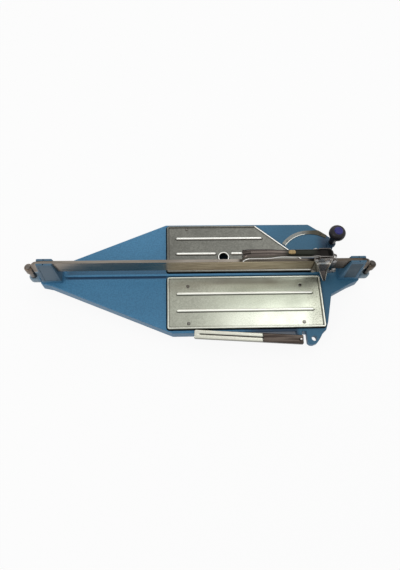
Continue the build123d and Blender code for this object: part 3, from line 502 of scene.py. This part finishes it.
def eyelet_ring():
    """The eyelet: a half-round ring of revolution whose inner side runs down through the sheet."""
    t = np.linspace(0, np.pi, 13)
    crest = (EYELET_R + EYELET_HOLE) / 2 + (EYELET_R - EYELET_HOLE) / 2 * np.cos(t)
    r = np.concatenate([crest, [EYELET_HOLE, EYELET_HOLE]])
    z = np.concatenate([SHEET_Z + EYELET_RISE * np.sin(t), [SHEET_Z - depth for depth in EYELET_THROAT]])
    # Painted shade on the ring's flanks and down the throat, and a painted highlight on its crest.
    painted_light = np.concatenate([EYELET_SHADE * np.abs(np.cos(t)) ** 4 - EYELET_HIGHLIGHT * np.sin(t) ** 4, THROAT_SHADE])
    return turned(EYELET_X, EYELET_Y, r, z, painted_light=painted_light)


def tube(path, radius, steps=10):
    """A round bar along a path of points: circles square to the path, closed by a point at each end."""
    path = np.asarray(path, dtype=float)
    forward = np.gradient(path, axis=0)
    forward /= np.linalg.norm(forward, axis=1)[:, None]
    side = np.cross(forward, OFF_ALL_PATHS)
    side /= np.linalg.norm(side, axis=1)[:, None]
    over = np.cross(forward, side)
    t = np.linspace(0, 2 * np.pi, steps, endpoint=False)
    circle = np.cos(t)[:, None] * side[:, None] + np.sin(t)[:, None] * over[:, None]
    rings = path[:, None] + radius * circle
    cap = np.broadcast_to(path[[0, -1], None], (2, steps, 3))
    return sheet(np.concatenate([cap[:1], rings, cap[1:]])[:, ::-1], wrap_v=True)


def coil_springs(pins):
    """Helices of round wire about the guide pins: x = r cos t, y = r sin t, z rising evenly from boss to sheet."""
    t = np.linspace(0, 2 * np.pi * SPRING_TURNS, TURN_POINTS * SPRING_TURNS + 1)
    z = np.linspace(SPRING_FOOT + SPRING_WIRE, SPRING_TOP - SPRING_WIRE, len(t))
    coil = np.stack([SPRING_R * np.cos(t), SPRING_R * np.sin(t), z], axis=-1)
    return [tube(coil + np.array([x, y, 0.0]), SPRING_WIRE, steps=8) for x, y in pins]


def spangle(tree):
    """A mask of small cells, each with its own strength, like the crystals of zinc."""
    cells = tree.nodes.new("ShaderNodeTexVoronoi")
    cells.inputs["Scale"].default_value = SPANGLE_SCALE
    link(tree, tree.nodes["Texture Coordinate"], "Object", cells, "Vector")
    split = tree.nodes.new("ShaderNodeSeparateColor")
    link(tree, cells, "Color", split, "Color")
    return split.outputs["Red"]


def zinc_material(name, dark, light, grain):
    """Zinc plating: slow patches with a fine spangle of darker cells."""
    mat = finish_material(name, dark, light, rough=(0.32, 0.46), metallic=1.0, bump=0.1, patch=26.0, skin=500.0)
    lay_tone(mat, tuple(SPANGLE_SHADE * v for v in dark), grain, spangle)
    return mat


def painted_light_mask(low, high):
    """A mask on the painted light kept on the points: 0 at low and 1 at high."""
    def mask(tree):
        shading = tree.nodes.new("ShaderNodeAttribute")
        shading.attribute_name = "painted_light"
        return ramp(tree, shading.outputs["Fac"], low, high)
    return mask


def paint_shade_and_highlight(mat, bright):
    """Painted light as tones: painted shade in the pressed corners, where it is above 0, and painted highlight on
    the tops, below 0.
    """
    lay_tone(mat, SHADE_TONE, 0.95, painted_light_mask(0.05, 0.95))
    lay_tone(mat, bright, 0.95, painted_light_mask(-0.1, -0.85))


zinc_front = zinc_material("zinc_front", (0.295, 0.30, 0.252), (0.405, 0.42, 0.352), 0.5)
zinc_rear = zinc_material("zinc_rear", (0.112, 0.112, 0.099), (0.190, 0.190, 0.168), 0.55)
dark_reflection = close_to("Y", -0.016, 0.011), along("X", -0.01, 0.04), along("X", 0.20, 0.13)
front_highlight = along("Y", -0.060, -0.105), along("X", -0.02, 0.10)
right_end = along("X", 0.205, 0.235)
flecks = noisy("Skin", 0.50, 0.62)
# Painted highlight: the front plate grows brighter to the right.
lay_tone(zinc_front, ZINC_RIGHT_HIGHLIGHT, 0.62, along("X", -0.04, 0.13))
# Painted dark reflection along the rear middle of the front plate.
lay_tone(zinc_front, ZINC_DARK_REFLECTION, 0.6, *dark_reflection)
# Painted highlight towards the front and right of the front plate.
lay_tone(zinc_front, ZINC_FRONT_HIGHLIGHT, 0.45, *front_highlight)
lay_tone(zinc_front, ZINC_DULL, 0.5, right_end)
lay_tone(zinc_front, ZINC_FLECK, 0.3, flecks)
lay_tone(zinc_front, ZINC_PIT, 0.5, flecks, right_end)
paint_shade_and_highlight(zinc_front, FRONT_HIGHLIGHT_TONE)
paint_shade_and_highlight(zinc_rear, REAR_HIGHLIGHT_TONE)
piece("front_sheet", "front_table", "zinc_sheet", zinc_front,
      plate_panel(FRONT_CORNERS, FRONT_ROUNDS, FRONT_BEADS, FRONT_PINS, FRONT_FOOT_SHADE),
      plate_rim(FRONT_CORNERS, FRONT_ROUNDS, FRONT_CREST_HIGHLIGHT), replaces=["front_plate"], thick=SHEET_THICK)
piece("rear_sheet", "rear_table", "zinc_sheet", zinc_rear, eyelet_ring(),
      plate_rim(REAR_CORNERS, REAR_ROUNDS, REAR_CREST_HIGHLIGHT),
      plate_panel(REAR_CORNERS, REAR_ROUNDS, REAR_BEADS, REAR_PINS, REAR_FOOT_SHADE, (EYELET_X, EYELET_Y, EYELET_CUT)),
      replaces=["rear_plate"], thick=SHEET_THICK)
pin_steel = finish_material("pin_steel", (0.040, 0.037, 0.032), (0.25, 0.24, 0.22), rough=(0.2, 0.3), metallic=1.0,
                            patch=330.0)
dress(pin_steel, "front_guide_pins", "rear_guide_pins")
dress(plain_steel, "front_pin_clips", "rear_pin_clips")
for end, pins in (("front", FRONT_PINS), ("rear", REAR_PINS)):
    coils = piece(end + "_coils", "frame", "steel", plain_steel, *coil_springs(pins),
                  replaces=[end + "_plate_springs"])
    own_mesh(coils)

# Carriage: two plated side plates riveted over four rollers that run on the rail.
# The plating is dulled by oil and cutting dust.
worn_chrome = finish_material("worn_chrome", (0.055, 0.046, 0.040), (0.15, 0.13, 0.115), rough=(0.14, 0.26),
                              metallic=1.0, bump=0.05, patch=60.0)
dress(worn_chrome, "carriage_front_plate", "carriage_rear_plate")
dress(plain_steel, "roller_axles", "upper_left_roller", "upper_right_roller", "lower_left_roller",
      "lower_right_roller")

# Lever: a dark plated pressing with a flared grip, a narrow arm and a wide head over the fork.
# Its lower edges are rolled to a bright bead, and a brass stud holds the grip's tongue in the arm.
# Stations along it are listed as place, half width, top and foot.
LEVER = np.array([
    (74.0, 9.2, 131.4, 117.0), (74.4, 10.3, 132.4, 115.4), (75.6, 10.3, 132.4, 115.4), (77.6, 9.2, 132.8, 117.6),
    (81.0, 8.5, 135.2, 121.5), (88.0, 8.3, 137.0, 124.3), (120.0, 8.3, 137.0, 124.3), (130.0, 7.9, 136.8, 124.6),
    (140.0, 6.8, 136.3, 125.9), (150.0, 6.2, 136.0, 127.0), (160.0, 6.4, 136.0, 127.0), (172.0, 6.8, 136.0, 126.8),
    (214.0, 6.8, 136.0, 126.4), (219.0, 7.4, 136.0, 127.0), (225.0, 8.6, 135.6, 127.8), (240.0, 8.6, 135.0, 128.6),
    (245.5, 8.2, 133.6, 128.4), (249.0, 7.2, 131.8, 127.6), (251.4, 5.4, 130.0, 127.0), (252.4, 3.8, 128.8, 126.8)])
GRIP_X, ARM_X, LEVER_END, LEVER_SQUARE = 74.0, 150.0, 252.4, 3.6
BEAD_X, BEAD_IN, BEAD_UP, BEAD_R = (75.0, 221.0), 0.5, 1.2, 1.3
LEVER_DARK_REFLECTION, ARM_BLACK, HEAD_WALL_HIGHLIGHT = (0.006, 0.005, 0.005), (0.010, 0.011, 0.009), (0.60, 0.56, 0.53)
BEAD_DULL = (0.26, 0.25, 0.24)


def section_loft(x, half, top, foot, power, steps=48):
    """Rounded box sections along X, closed by a point at each end.

    y = half |cos t|^(2/p) and z = middle + depth/2 |sin t|^(2/p), with the signs of cos t and sin t."""
    t = np.linspace(0, 2 * np.pi, steps, endpoint=False)
    c, s = np.cos(t), np.sin(t)
    y, z = np.sign(c) * np.abs(c) ** (2 / power), np.sign(s) * np.abs(s) ** (2 / power)
    x = np.concatenate([x[:1], x, x[-1:]])
    half = np.concatenate([[0], half, [0]])
    middle, depth = (top + foot) / 2, (top - foot) / 2
    middle = np.concatenate([middle[:1], middle, middle[-1:]])
    depth = np.concatenate([[0], depth, [0]])
    x = np.broadcast_to(x[:, None], (len(x), steps))
    points = np.stack([x, np.outer(half, y), middle[:, None] + np.outer(depth, z)], axis=-1)
    return sheet(points[:, ::-1], wrap_v=True)


def lever_stations(x0, x1, count):
    """Place, half width, top and foot at even stations from x0 to x1 and at the listed ones, straight between."""
    listed = LEVER[(LEVER[:, 0] >= x0) & (LEVER[:, 0] <= x1), 0]
    x = np.unique(np.concatenate([np.linspace(x0, x1, count), listed]))
    return x, *(np.interp(x, LEVER[:, 0], LEVER[:, k]) for k in (1, 2, 3))


dark_chrome = finish_material("dark_chrome", (0.006, 0.005, 0.004), (0.19, 0.16, 0.14), rough=(0.10, 0.2),
                              metallic=1.0, bump=0.03, patch=210.0, stretch=(0.05, 1, 1))
head = along("X", 0.206, 0.224)
# Painted dark reflection streaks along the lever; the same dark tone also covers the head.
lay_tone(dark_chrome, LEVER_DARK_REFLECTION, 0.75, close_to("Y", -0.0024, 0.0026))
lay_tone(dark_chrome, LEVER_DARK_REFLECTION, 0.5, along("Y", -0.0005, 0.004))
lay_tone(dark_chrome, LEVER_DARK_REFLECTION, 0.7, along("Y", 0.0045, 0.0066))
lay_tone(dark_chrome, ARM_BLACK, 0.97, along("X", 0.148, 0.165))
lay_tone(dark_chrome, LEVER_DARK_REFLECTION, 0.85, head)
# Painted highlight on the head's upright walls.
lay_tone(dark_chrome, HEAD_WALL_HIGHLIGHT, 0.7, head, UPRIGHT)
bright_chrome = finish_material("bright_chrome", (0.55, 0.54, 0.52), (0.74, 0.73, 0.71), rough=(0.1, 0.2),
                                metallic=1.0)
lay_tone(bright_chrome, BEAD_DULL, 0.7, along("X", 0.165, 0.19))
brass = finish_material("brass", (0.05, 0.038, 0.020), (0.25, 0.18, 0.088), rough=(0.22, 0.36), metallic=1.0,
                        patch=160.0)
piece("grip_shell", "lever", "chrome", dark_chrome,
      section_loft(*lever_stations(GRIP_X, ARM_X, count=40), LEVER_SQUARE), replaces=["handle_grip"])
piece("arm_shell", "lever", "dark_plate", dark_chrome,
      section_loft(*lever_stations(ARM_X, LEVER_END, count=60), LEVER_SQUARE), replaces=["lever_arm"])
bead_x, bead_half, _, bead_foot = lever_stations(*BEAD_X, count=62)
piece("lever_beads", "lever", "chrome", bright_chrome,
      *[tube(np.stack([bead_x, s * (bead_half - BEAD_IN), bead_foot + BEAD_UP], axis=-1), BEAD_R) for s in (-1, 1)])
dress(brass, "lever_stud")
dress(plain_steel, "lever_pivot_pin", "pivot_spacers")

# Breaker fork: a plated V each side of the rail, with rolled bright edges, that presses the tile apart.
# It has a painted highlight across the bar and is dark below the knee.
# The small hard wheel turns in a holder on the fork's cross bar.
FORK_KNEE_Z, FORK_TIP_Z, FORK_EDGE_Y, FORK_TIP_Y, FORK_EDGE_R = 69.0, 40.6, 11.1, 21.4, 0.9
FORK_LEFT = [(219.0, 114.6), (226.5, 103.0), (233.0, 87.0), (239.2, FORK_KNEE_Z), (253.2, FORK_TIP_Z)]
FORK_RIGHT = [(247.4, 128.0), (250.4, 121.5), (252.6, 95.0), (254.4, FORK_KNEE_Z), (257.0, FORK_TIP_Z)]
EDGE_POINTS, EDGE_EASE = 60, 5
FORK_BROWN, FORK_FOOT, FORK_HEAD = (0.24, 0.18, 0.14), (0.040, 0.036, 0.032), (0.34, 0.32, 0.30)
FORK_BAND_HIGHLIGHT, FORK_LEDGE = (1.0, 0.92, 0.82), (0.014, 0.012, 0.011)


def fork_edge(points, side):
    """A rolled edge: the corner points eased by a running mean, standing out below the knee."""
    p = np.array(points, dtype=float)
    out = np.interp(p[:, 1], [FORK_TIP_Z, FORK_KNEE_Z], [FORK_TIP_Y, FORK_EDGE_Y])
    path = np.stack([p[:, 0], side * out, p[:, 1]], axis=-1)
    far = np.concatenate([[0], np.cumsum(np.linalg.norm(np.diff(path, axis=0), axis=1))])
    s = np.linspace(0, far[-1], EDGE_POINTS)
    fine = np.stack([np.interp(s, far, path[:, k]) for k in range(3)], axis=-1)
    more = EDGE_EASE // 2
    padded = np.concatenate([fine[:1].repeat(more, axis=0), fine, fine[-1:].repeat(more, axis=0)])
    return tube(sum(padded[k:k + EDGE_POINTS] for k in range(EDGE_EASE)) / EDGE_EASE, FORK_EDGE_R)


fork_chrome = finish_material("fork_chrome", (0.040, 0.033, 0.030), (0.15, 0.125, 0.115), rough=(0.16, 0.3),
                              metallic=0.7, bump=0.05, patch=90.0)
lay_tone(fork_chrome, FORK_BROWN, 0.6, along("Z", 0.066, 0.076))
lay_tone(fork_chrome, FORK_FOOT, 0.55, along("Z", 0.074, 0.064))
lay_tone(fork_chrome, FORK_HEAD, 0.6, along("Z", 0.110, 0.118))
# Painted highlight across the fork's bar.
lay_tone(fork_chrome, FORK_BAND_HIGHLIGHT, 0.85, close_to("Z", 0.105, 0.006))
lay_tone(fork_chrome, FORK_LEDGE, 0.9, facing(0.6, 0.9))
dress(fork_chrome, "breaker_fork")
edge_chrome = finish_material("edge_chrome", (0.28, 0.265, 0.25), (0.47, 0.45, 0.42), rough=(0.12, 0.22),
                              metallic=1.0)
piece("fork_edges", "lever", "chrome", edge_chrome,
      *[fork_edge(p, s) for p in (FORK_LEFT, FORK_RIGHT) for s in (-1, 1)])
dress(plain_steel, "fork_rivet", "wheel_holder", "wheel_axle", "scoring_wheel")

# Angle fence: a blue arm that swings on a screw, with a black ball knob that clamps it.
# The knob is moulded plastic with a flared neck, and an indigo cap is pressed into its top.
KNOB_X, KNOB_Y, NECK_Z, NECK_R, NECK_FLARE, NECK_RINGS = 285.0, 72.0, (40.0, 69.5), (6.7, 12.0), 1.6, 16
FENCE_EYE_SHADE, PLASTIC_SPECULAR = (0.016, 0.034, 0.062), 0.25


def knob_neck():
    """A flared neck of revolution: r = r0 + (r1 - r0) t^NECK_FLARE, for t from 0 at its foot to 1 at the ball."""
    r = NECK_R[0] + (NECK_R[1] - NECK_R[0]) * np.linspace(0, 1, NECK_RINGS) ** NECK_FLARE
    return turned(KNOB_X, KNOB_Y, r, np.linspace(*NECK_Z, NECK_RINGS))


fence_paint = casting_paint("fence_paint")
# Painted shade on the fence arm's eye under the knob.
lay_tone(fence_paint, FENCE_EYE_SHADE, 0.8, along("Y", 0.050, 0.062))
dress(fence_paint, "fence_arm")
dress(plain_steel, "fence_pivot_screw", "clamp_stud")
black_plastic = finish_material("black_plastic", (0.008, 0.007, 0.009), (0.013, 0.011, 0.014), rough=(0.3, 0.42),
                                specular=PLASTIC_SPECULAR)
dress(black_plastic, "locking_knob")
piece("knob_neck", "knob", "black_plastic", black_plastic, knob_neck())
blue_cap = finish_material("blue_cap", (0.012, 0.011, 0.115), (0.024, 0.022, 0.165), rough=(0.3, 0.4),
                           specular=PLASTIC_SPECULAR)
dress(blue_cap, "knob_cap")

# Protractor scale: a riveted arc of aluminium strip on the rear right deck, cut back along the deck's edge.
# Its graduations are engraved and filled dark, and its inner edge carries a painted highlight.
SCALE_CENTRE, SCALE_IN, SCALE_OUT, SCALE_FOOT, SCALE_Z = (239.8, 27.2), 68.5, 77.5, 30.0, 31.2
SCALE_TURN, SCALE_SWELL = (-53.5, 31.0), (4.0, 14.0, 3.0)
SCALE_EDGE, SCALE_EDGE_TURN, LEAST_COS = 75.6, 35.8, 0.4
SCALE_RIVETS, RIVET_R, RIVET_RISE = (-44.0, -10.0, 20.0), 2.2, 1.0
MARK_TURNS, MARK_IN, MARK_HALF, MARK_LONG, MARK_SHORT = range(-51, 31, 3), 1.2, 0.2, 3.6, 2.2
HIGHLIGHT_WIDTH, HIGHLIGHT_END, INLAY_RISE = 1.6, -8.0, 0.06
SCALE_SHADE = (0.034, 0.030, 0.020)


def on_arc(radius, angle):
    """The plan place at a radius about the scale's centre, angles in degrees from +Y towards +X."""
    a = np.radians(angle)
    return SCALE_CENTRE[0] + radius * np.sin(a), SCALE_CENTRE[1] + radius * np.cos(a)


def scale_strip():
    """A strip of rectangular section bent to an arc, and widened where it meets the deck's edge.

    There its outer radius is SCALE_EDGE / cos(angle from the square to that edge)."""
    turn = np.linspace(*SCALE_TURN, 90)
    swell = np.interp(turn, SCALE_SWELL[:2], [0, SCALE_SWELL[2]])
    cut = SCALE_EDGE / np.maximum(np.cos(np.radians(turn - SCALE_EDGE_TURN)), LEAST_COS)
    outer = np.minimum(SCALE_OUT + swell, cut)
    inner = np.full_like(outer, SCALE_IN)
    r = np.stack([outer, outer, inner, inner], axis=1)
    z = np.broadcast_to([SCALE_FOOT, SCALE_Z, SCALE_Z, SCALE_FOOT], r.shape)
    points = np.stack([*on_arc(r, turn[:, None]), z], axis=-1)
    ends = points[[0, -1]] * [1, 1, 0] + [0, 0, SCALE_FOOT]
    return sheet(np.concatenate([ends[:1], points, ends[1:]])[::-1])


def dome(x, y, foot, radii, rise):
    """A low dome of revolution: height = foot + rise * sqrt(1 - (r / R)^2), where R is the last radius."""
    heights = foot + rise * np.sqrt(1 - (radii / radii[-1]) ** 2)
    return turned(x, y, radii[::-1], heights[::-1], segments=24)


def arc_band(r0, r1, a0, a1, steps=60):
    """A flat band between two radii and two angles, laid just proud of the strip."""
    x, y = on_arc(np.array([r1, r0])[None], np.linspace(a0, a1, steps)[:, None])
    return sheet(np.stack([x, y, np.full_like(x, SCALE_Z + INLAY_RISE)], axis=-1)[::-1])


scale_metal = finish_material("scale_metal", (0.10, 0.105, 0.098), (0.18, 0.185, 0.175), rough=(0.3, 0.42),
                              metallic=1.0)
# Painted shade over the right end of the strip.
lay_tone(scale_metal, SCALE_SHADE, 0.9, along("X", 0.215, 0.25))
rivet_radii = RIVET_R * np.sin(np.linspace(0, np.pi / 2, 7))
rivet_places = [on_arc((SCALE_IN + SCALE_OUT) / 2, a) for a in SCALE_RIVETS]
piece("scale_strip", "frame", "scale_metal", scale_metal, scale_strip(),
      *[dome(x, y, SCALE_Z, rivet_radii, RIVET_RISE) for x, y in rivet_places],
      replaces=["protractor_scale", "protractor_rivets"])
scale_ink = finish_material("scale_ink", (0.02, 0.02, 0.02), (0.03, 0.03, 0.03), rough=(0.5, 0.6))
mark_foot = SCALE_IN + MARK_IN
marks = [(a, MARK_LONG if a % 15 == 0 else MARK_SHORT) for a in MARK_TURNS]
piece("scale_marks", "frame", "scale_metal", scale_ink,
      *[arc_band(mark_foot, mark_foot + reach, a - MARK_HALF, a + MARK_HALF, steps=2) for a, reach in marks])
# A painted highlight along the left part of the strip's inner edge.
edge_highlight = finish_material("edge_highlight", (0.30, 0.31, 0.29), (0.46, 0.47, 0.44), rough=(0.25, 0.35),
                              metallic=1.0)
piece("scale_edge", "frame", "scale_metal", edge_highlight,
      arc_band(SCALE_IN, SCALE_IN + HIGHLIGHT_WIDTH, SCALE_TURN[0], HIGHLIGHT_END))

# Side support: a dark link hinged on a tab of the base, and a pressed bright channel on its tongue.
# The channel has rounded shoulders and a groove along its middle, and the arm turns on one riveted pin.
SUPPORT_X, SUPPORT_Y, SUPPORT_TURN = 193.5, -145.5, math.radians(175.86)
CHANNEL_X0, CHANNEL_X1, CHANNEL_HALF, CHANNEL_Z0, CHANNEL_Z1 = 76.3, 214.0, 9.0, 30.6, 37.5
CHANNEL_THICK, SHOULDER_R, PINCH_LENGTH, PINCH, GROOVE_STOP, GROOVE_HALF = 1.0, 2.0, 4.0, 0.2, 8.0, 2.0
GROOVE_Y, GROOVE_DROP = np.array([2.2, 1.5, 1.1, 0.6, 0.0]), np.array([0.0, 0.12, 0.75, 0.95, 1.0])
GROOVE_SHADE, WALL_SHADE, SHADE_FADE = [0.0, 0.2, 0.95, 1.0, 1.0], 0.6, 0.4
PIN_END_R, PIN_END_RISE = 2.2, 0.5
LINK_STREAK, CHANNEL_HIGHLIGHT_TONE = (0.15, 0.125, 0.105), (0.78, 0.79, 0.72)


def on_support(x, y, z):
    """A point of the arm, drawn along +X from its pin, turned to its resting place."""
    c, s = math.cos(SUPPORT_TURN), math.sin(SUPPORT_TURN)
    return np.stack([SUPPORT_X + c * x - s * y, SUPPORT_Y + s * x + c * y, z], axis=-1)


def channel_sheet():
    """A section with rounded shoulders and a middle groove, carried along the arm and narrowed at its free end."""
    t = np.linspace(0, np.pi / 2, 7)
    shoulder_y = CHANNEL_HALF - SHOULDER_R + SHOULDER_R * np.cos(t)
    shoulder_z = CHANNEL_Z1 - SHOULDER_R + SHOULDER_R * np.sin(t)
    y = np.concatenate([[CHANNEL_HALF], shoulder_y, GROOVE_Y])
    z = np.concatenate([[CHANNEL_Z0], shoulder_z, CHANNEL_Z1 - GROOVE_DROP])
    # Painted shade on the side walls, fading over the shoulders, and in the groove.
    painted_light = np.concatenate([[WALL_SHADE], WALL_SHADE - t * SHADE_FADE, GROOVE_SHADE])
    y, z, painted_light = (np.concatenate([v, w[-2::-1]]) for v, w in ((y, -y), (z, z), (painted_light, painted_light)))
    pinch_start = CHANNEL_X1 - PINCH_LENGTH
    x = np.concatenate([np.linspace(CHANNEL_X0, pinch_start - 1, 40), np.linspace(pinch_start, CHANNEL_X1, 5)])
    pinch = np.clip((x - pinch_start) / PINCH_LENGTH, 0, 1)[:, None]
    grooved = np.clip((CHANNEL_X1 - GROOVE_STOP - x) / PINCH_LENGTH, 0, 1)[:, None]
    in_groove = np.abs(y) < GROOVE_HALF
    z = np.where(in_groove, CHANNEL_Z1 - (CHANNEL_Z1 - z) * grooved, z)
    shading = np.where(in_groove, painted_light * grooved, np.broadcast_to(painted_light, z.shape))
    points = on_support(np.broadcast_to(x[:, None], z.shape), y * (1 - PINCH * pinch ** 2), z)
    return sheet(points[::-1], painted_light=shading[::-1])


brown_link = finish_material("brown_link", (0.004, 0.003, 0.003), (0.052, 0.038, 0.031), rough=(0.2, 0.32),
                             metallic=0.9, patch=190.0, stretch=(0.05, 1, 1))
lay_tone(brown_link, LINK_STREAK, 0.3, noisy("Patch", 0.47, 0.62))
dress(brown_link, "support_link", "support_pivot_pin")
bright_sheet = zinc_material("bright_sheet", (0.45, 0.45, 0.38), (0.57, 0.57, 0.50), 0.2)
# Painted shade on the channel's walls and groove.
paint_shade_and_highlight(bright_sheet, CHANNEL_HIGHLIGHT_TONE)
piece("channel_sheet", "support", "chrome", bright_sheet, channel_sheet(), replaces=["support_channel"],
      thick=CHANNEL_THICK)
pin_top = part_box("support_pivot_pin")[1].z / MM
piece("pin_end", "frame", "steel", bright_chrome,
      dome(SUPPORT_X, SUPPORT_Y, pin_top, np.linspace(0, PIN_END_R, 5), PIN_END_RISE))

# Stage: a pale floor, a soft panel high at the right rear, one low behind, a fill, and a white surround.
# They stand clear of the part and are no piece of it.
FLOOR_HALF, FLOOR_GREY, FLOOR_SHARE, SURROUND_LIGHT = 6, 0.85, 0.90, 0.5


def show_white(tree, lit, white, output, share):
    """Mix a lit shader with a white one.

    Rays from the camera, from gloss and through glass get that share of white."""
    rays = tree.nodes.new("ShaderNodeLightPath")
    seen, seen_more, weight = (tree.nodes.new("ShaderNodeMath") for _ in range(3))
    seen.operation, seen_more.operation, weight.operation = "MAXIMUM", "MAXIMUM", "MULTIPLY"
    weight.inputs[1].default_value = share
    blend = tree.nodes.new("ShaderNodeMixShader")
    tree.links.new(rays.outputs["Is Camera Ray"], seen.inputs[0])
    tree.links.new(rays.outputs["Is Glossy Ray"], seen.inputs[1])
    tree.links.new(seen.outputs[0], seen_more.inputs[0])
    tree.links.new(rays.outputs["Is Transmission Ray"], seen_more.inputs[1])
    tree.links.new(seen_more.outputs[0], weight.inputs[0])
    tree.links.new(weight.outputs[0], blend.inputs["Fac"])
    tree.links.new(lit, blend.inputs[1])
    tree.links.new(white, blend.inputs[2])
    link(tree, blend, "Shader", output, "Surface")


def soft_panel(name, place, target, size, power):
    """A rectangular area lamp at a place, turned towards a target."""
    lamp = bpy.data.lights.new(name, "AREA")
    lamp.shape = "RECTANGLE"
    lamp.size, lamp.size_y = size
    lamp.energy = power
    panel = bpy.data.objects.new(name, lamp)
    panel.location = place
    panel.rotation_euler = (Vector(target) - Vector(place)).to_track_quat("-Z", "Y").to_euler()
    bpy.context.collection.objects.link(panel)


floor_mesh = bpy.data.meshes.new("floor")
corners = [(FLOOR_HALF * x, FLOOR_HALF * y, 0) for x, y in ((-1, -1), (1, -1), (1, 1), (-1, 1))]
floor_mesh.from_pydata(corners, [], [(0, 1, 2, 3)])
floor = bpy.data.objects.new("floor", floor_mesh)
bpy.context.collection.objects.link(floor)
pale_floor = bpy.data.materials.new("pale_floor")
pale_floor.use_nodes = True
floor_tree = pale_floor.node_tree
matt = floor_tree.nodes["Principled BSDF"]
matt.inputs["Base Color"].default_value = (FLOOR_GREY, FLOOR_GREY, FLOOR_GREY, 1)
matt.inputs["Roughness"].default_value = 0.9
matt.inputs["Specular IOR Level"].default_value = 0.0
glow = floor_tree.nodes.new("ShaderNodeEmission")
glow.inputs["Strength"].default_value = 1.0
show_white(floor_tree, matt.outputs["BSDF"], glow.outputs["Emission"], floor_tree.nodes["Material Output"],
           FLOOR_SHARE)
floor_mesh.materials.append(pale_floor)

soft_panel("key_panel", place=(0.72, 0.36, 1.5), target=(0.12, -0.08, 0.0), size=(1.1, 0.7), power=4.5)
soft_panel("back_panel", place=(0.0, 2.3, 1.7), target=(0, 0, 0), size=(2.4, 1.2), power=14.0)
soft_panel("fill_panel", place=(-1.6, -0.9, 1.6), target=(0, 0, 0), size=(1.4, 1.4), power=15.0)

surround = bpy.data.worlds.new("surround")
surround.use_nodes = True
bpy.context.scene.world = surround
sky_tree = surround.node_tree
light, white = sky_tree.nodes["Background"], sky_tree.nodes.new("ShaderNodeBackground")
for shade, strength in ((light, SURROUND_LIGHT), (white, 1.0)):
    shade.inputs["Color"].default_value = (1, 1, 1, 1)
    shade.inputs["Strength"].default_value = strength
show_white(sky_tree, light.outputs["Background"], white.outputs["Background"], sky_tree.nodes["World Output"], 1.0)

# Camera: the photograph's view, worked out from the plates, the rail and the posts.
# It stands in front, 67 degrees above the part, and is rolled by about 6 degrees.
ELEVATION, AZIMUTH, ROLL = math.radians(67.38), math.radians(-7.09), math.radians(5.83)
TARGET = Vector((-0.00541, -0.02392, 0.034))
DISTANCE, LENS, SENSOR = 0.99592, 30.17, 36.0
back = Vector((math.cos(ELEVATION) * math.sin(AZIMUTH), -math.cos(ELEVATION) * math.cos(AZIMUTH),
               math.sin(ELEVATION)))
level = Vector((math.cos(AZIMUTH), math.sin(AZIMUTH), 0))
rise = back.cross(level)
right = math.cos(ROLL) * level + math.sin(ROLL) * rise
up = math.cos(ROLL) * rise - math.sin(ROLL) * level
lens = bpy.data.cameras.new("photo_camera")
lens.sensor_fit = "VERTICAL"
lens.sensor_height = SENSOR
lens.lens = LENS
camera = bpy.data.objects.new("photo_camera", lens)
camera.matrix_world = Matrix.Translation(TARGET + DISTANCE * back) @ Matrix((right, up, back)).transposed().to_4x4()
bpy.context.collection.objects.link(camera)
bpy.context.scene.camera = camera
bpy.context.scene.view_settings.view_transform = "Standard"
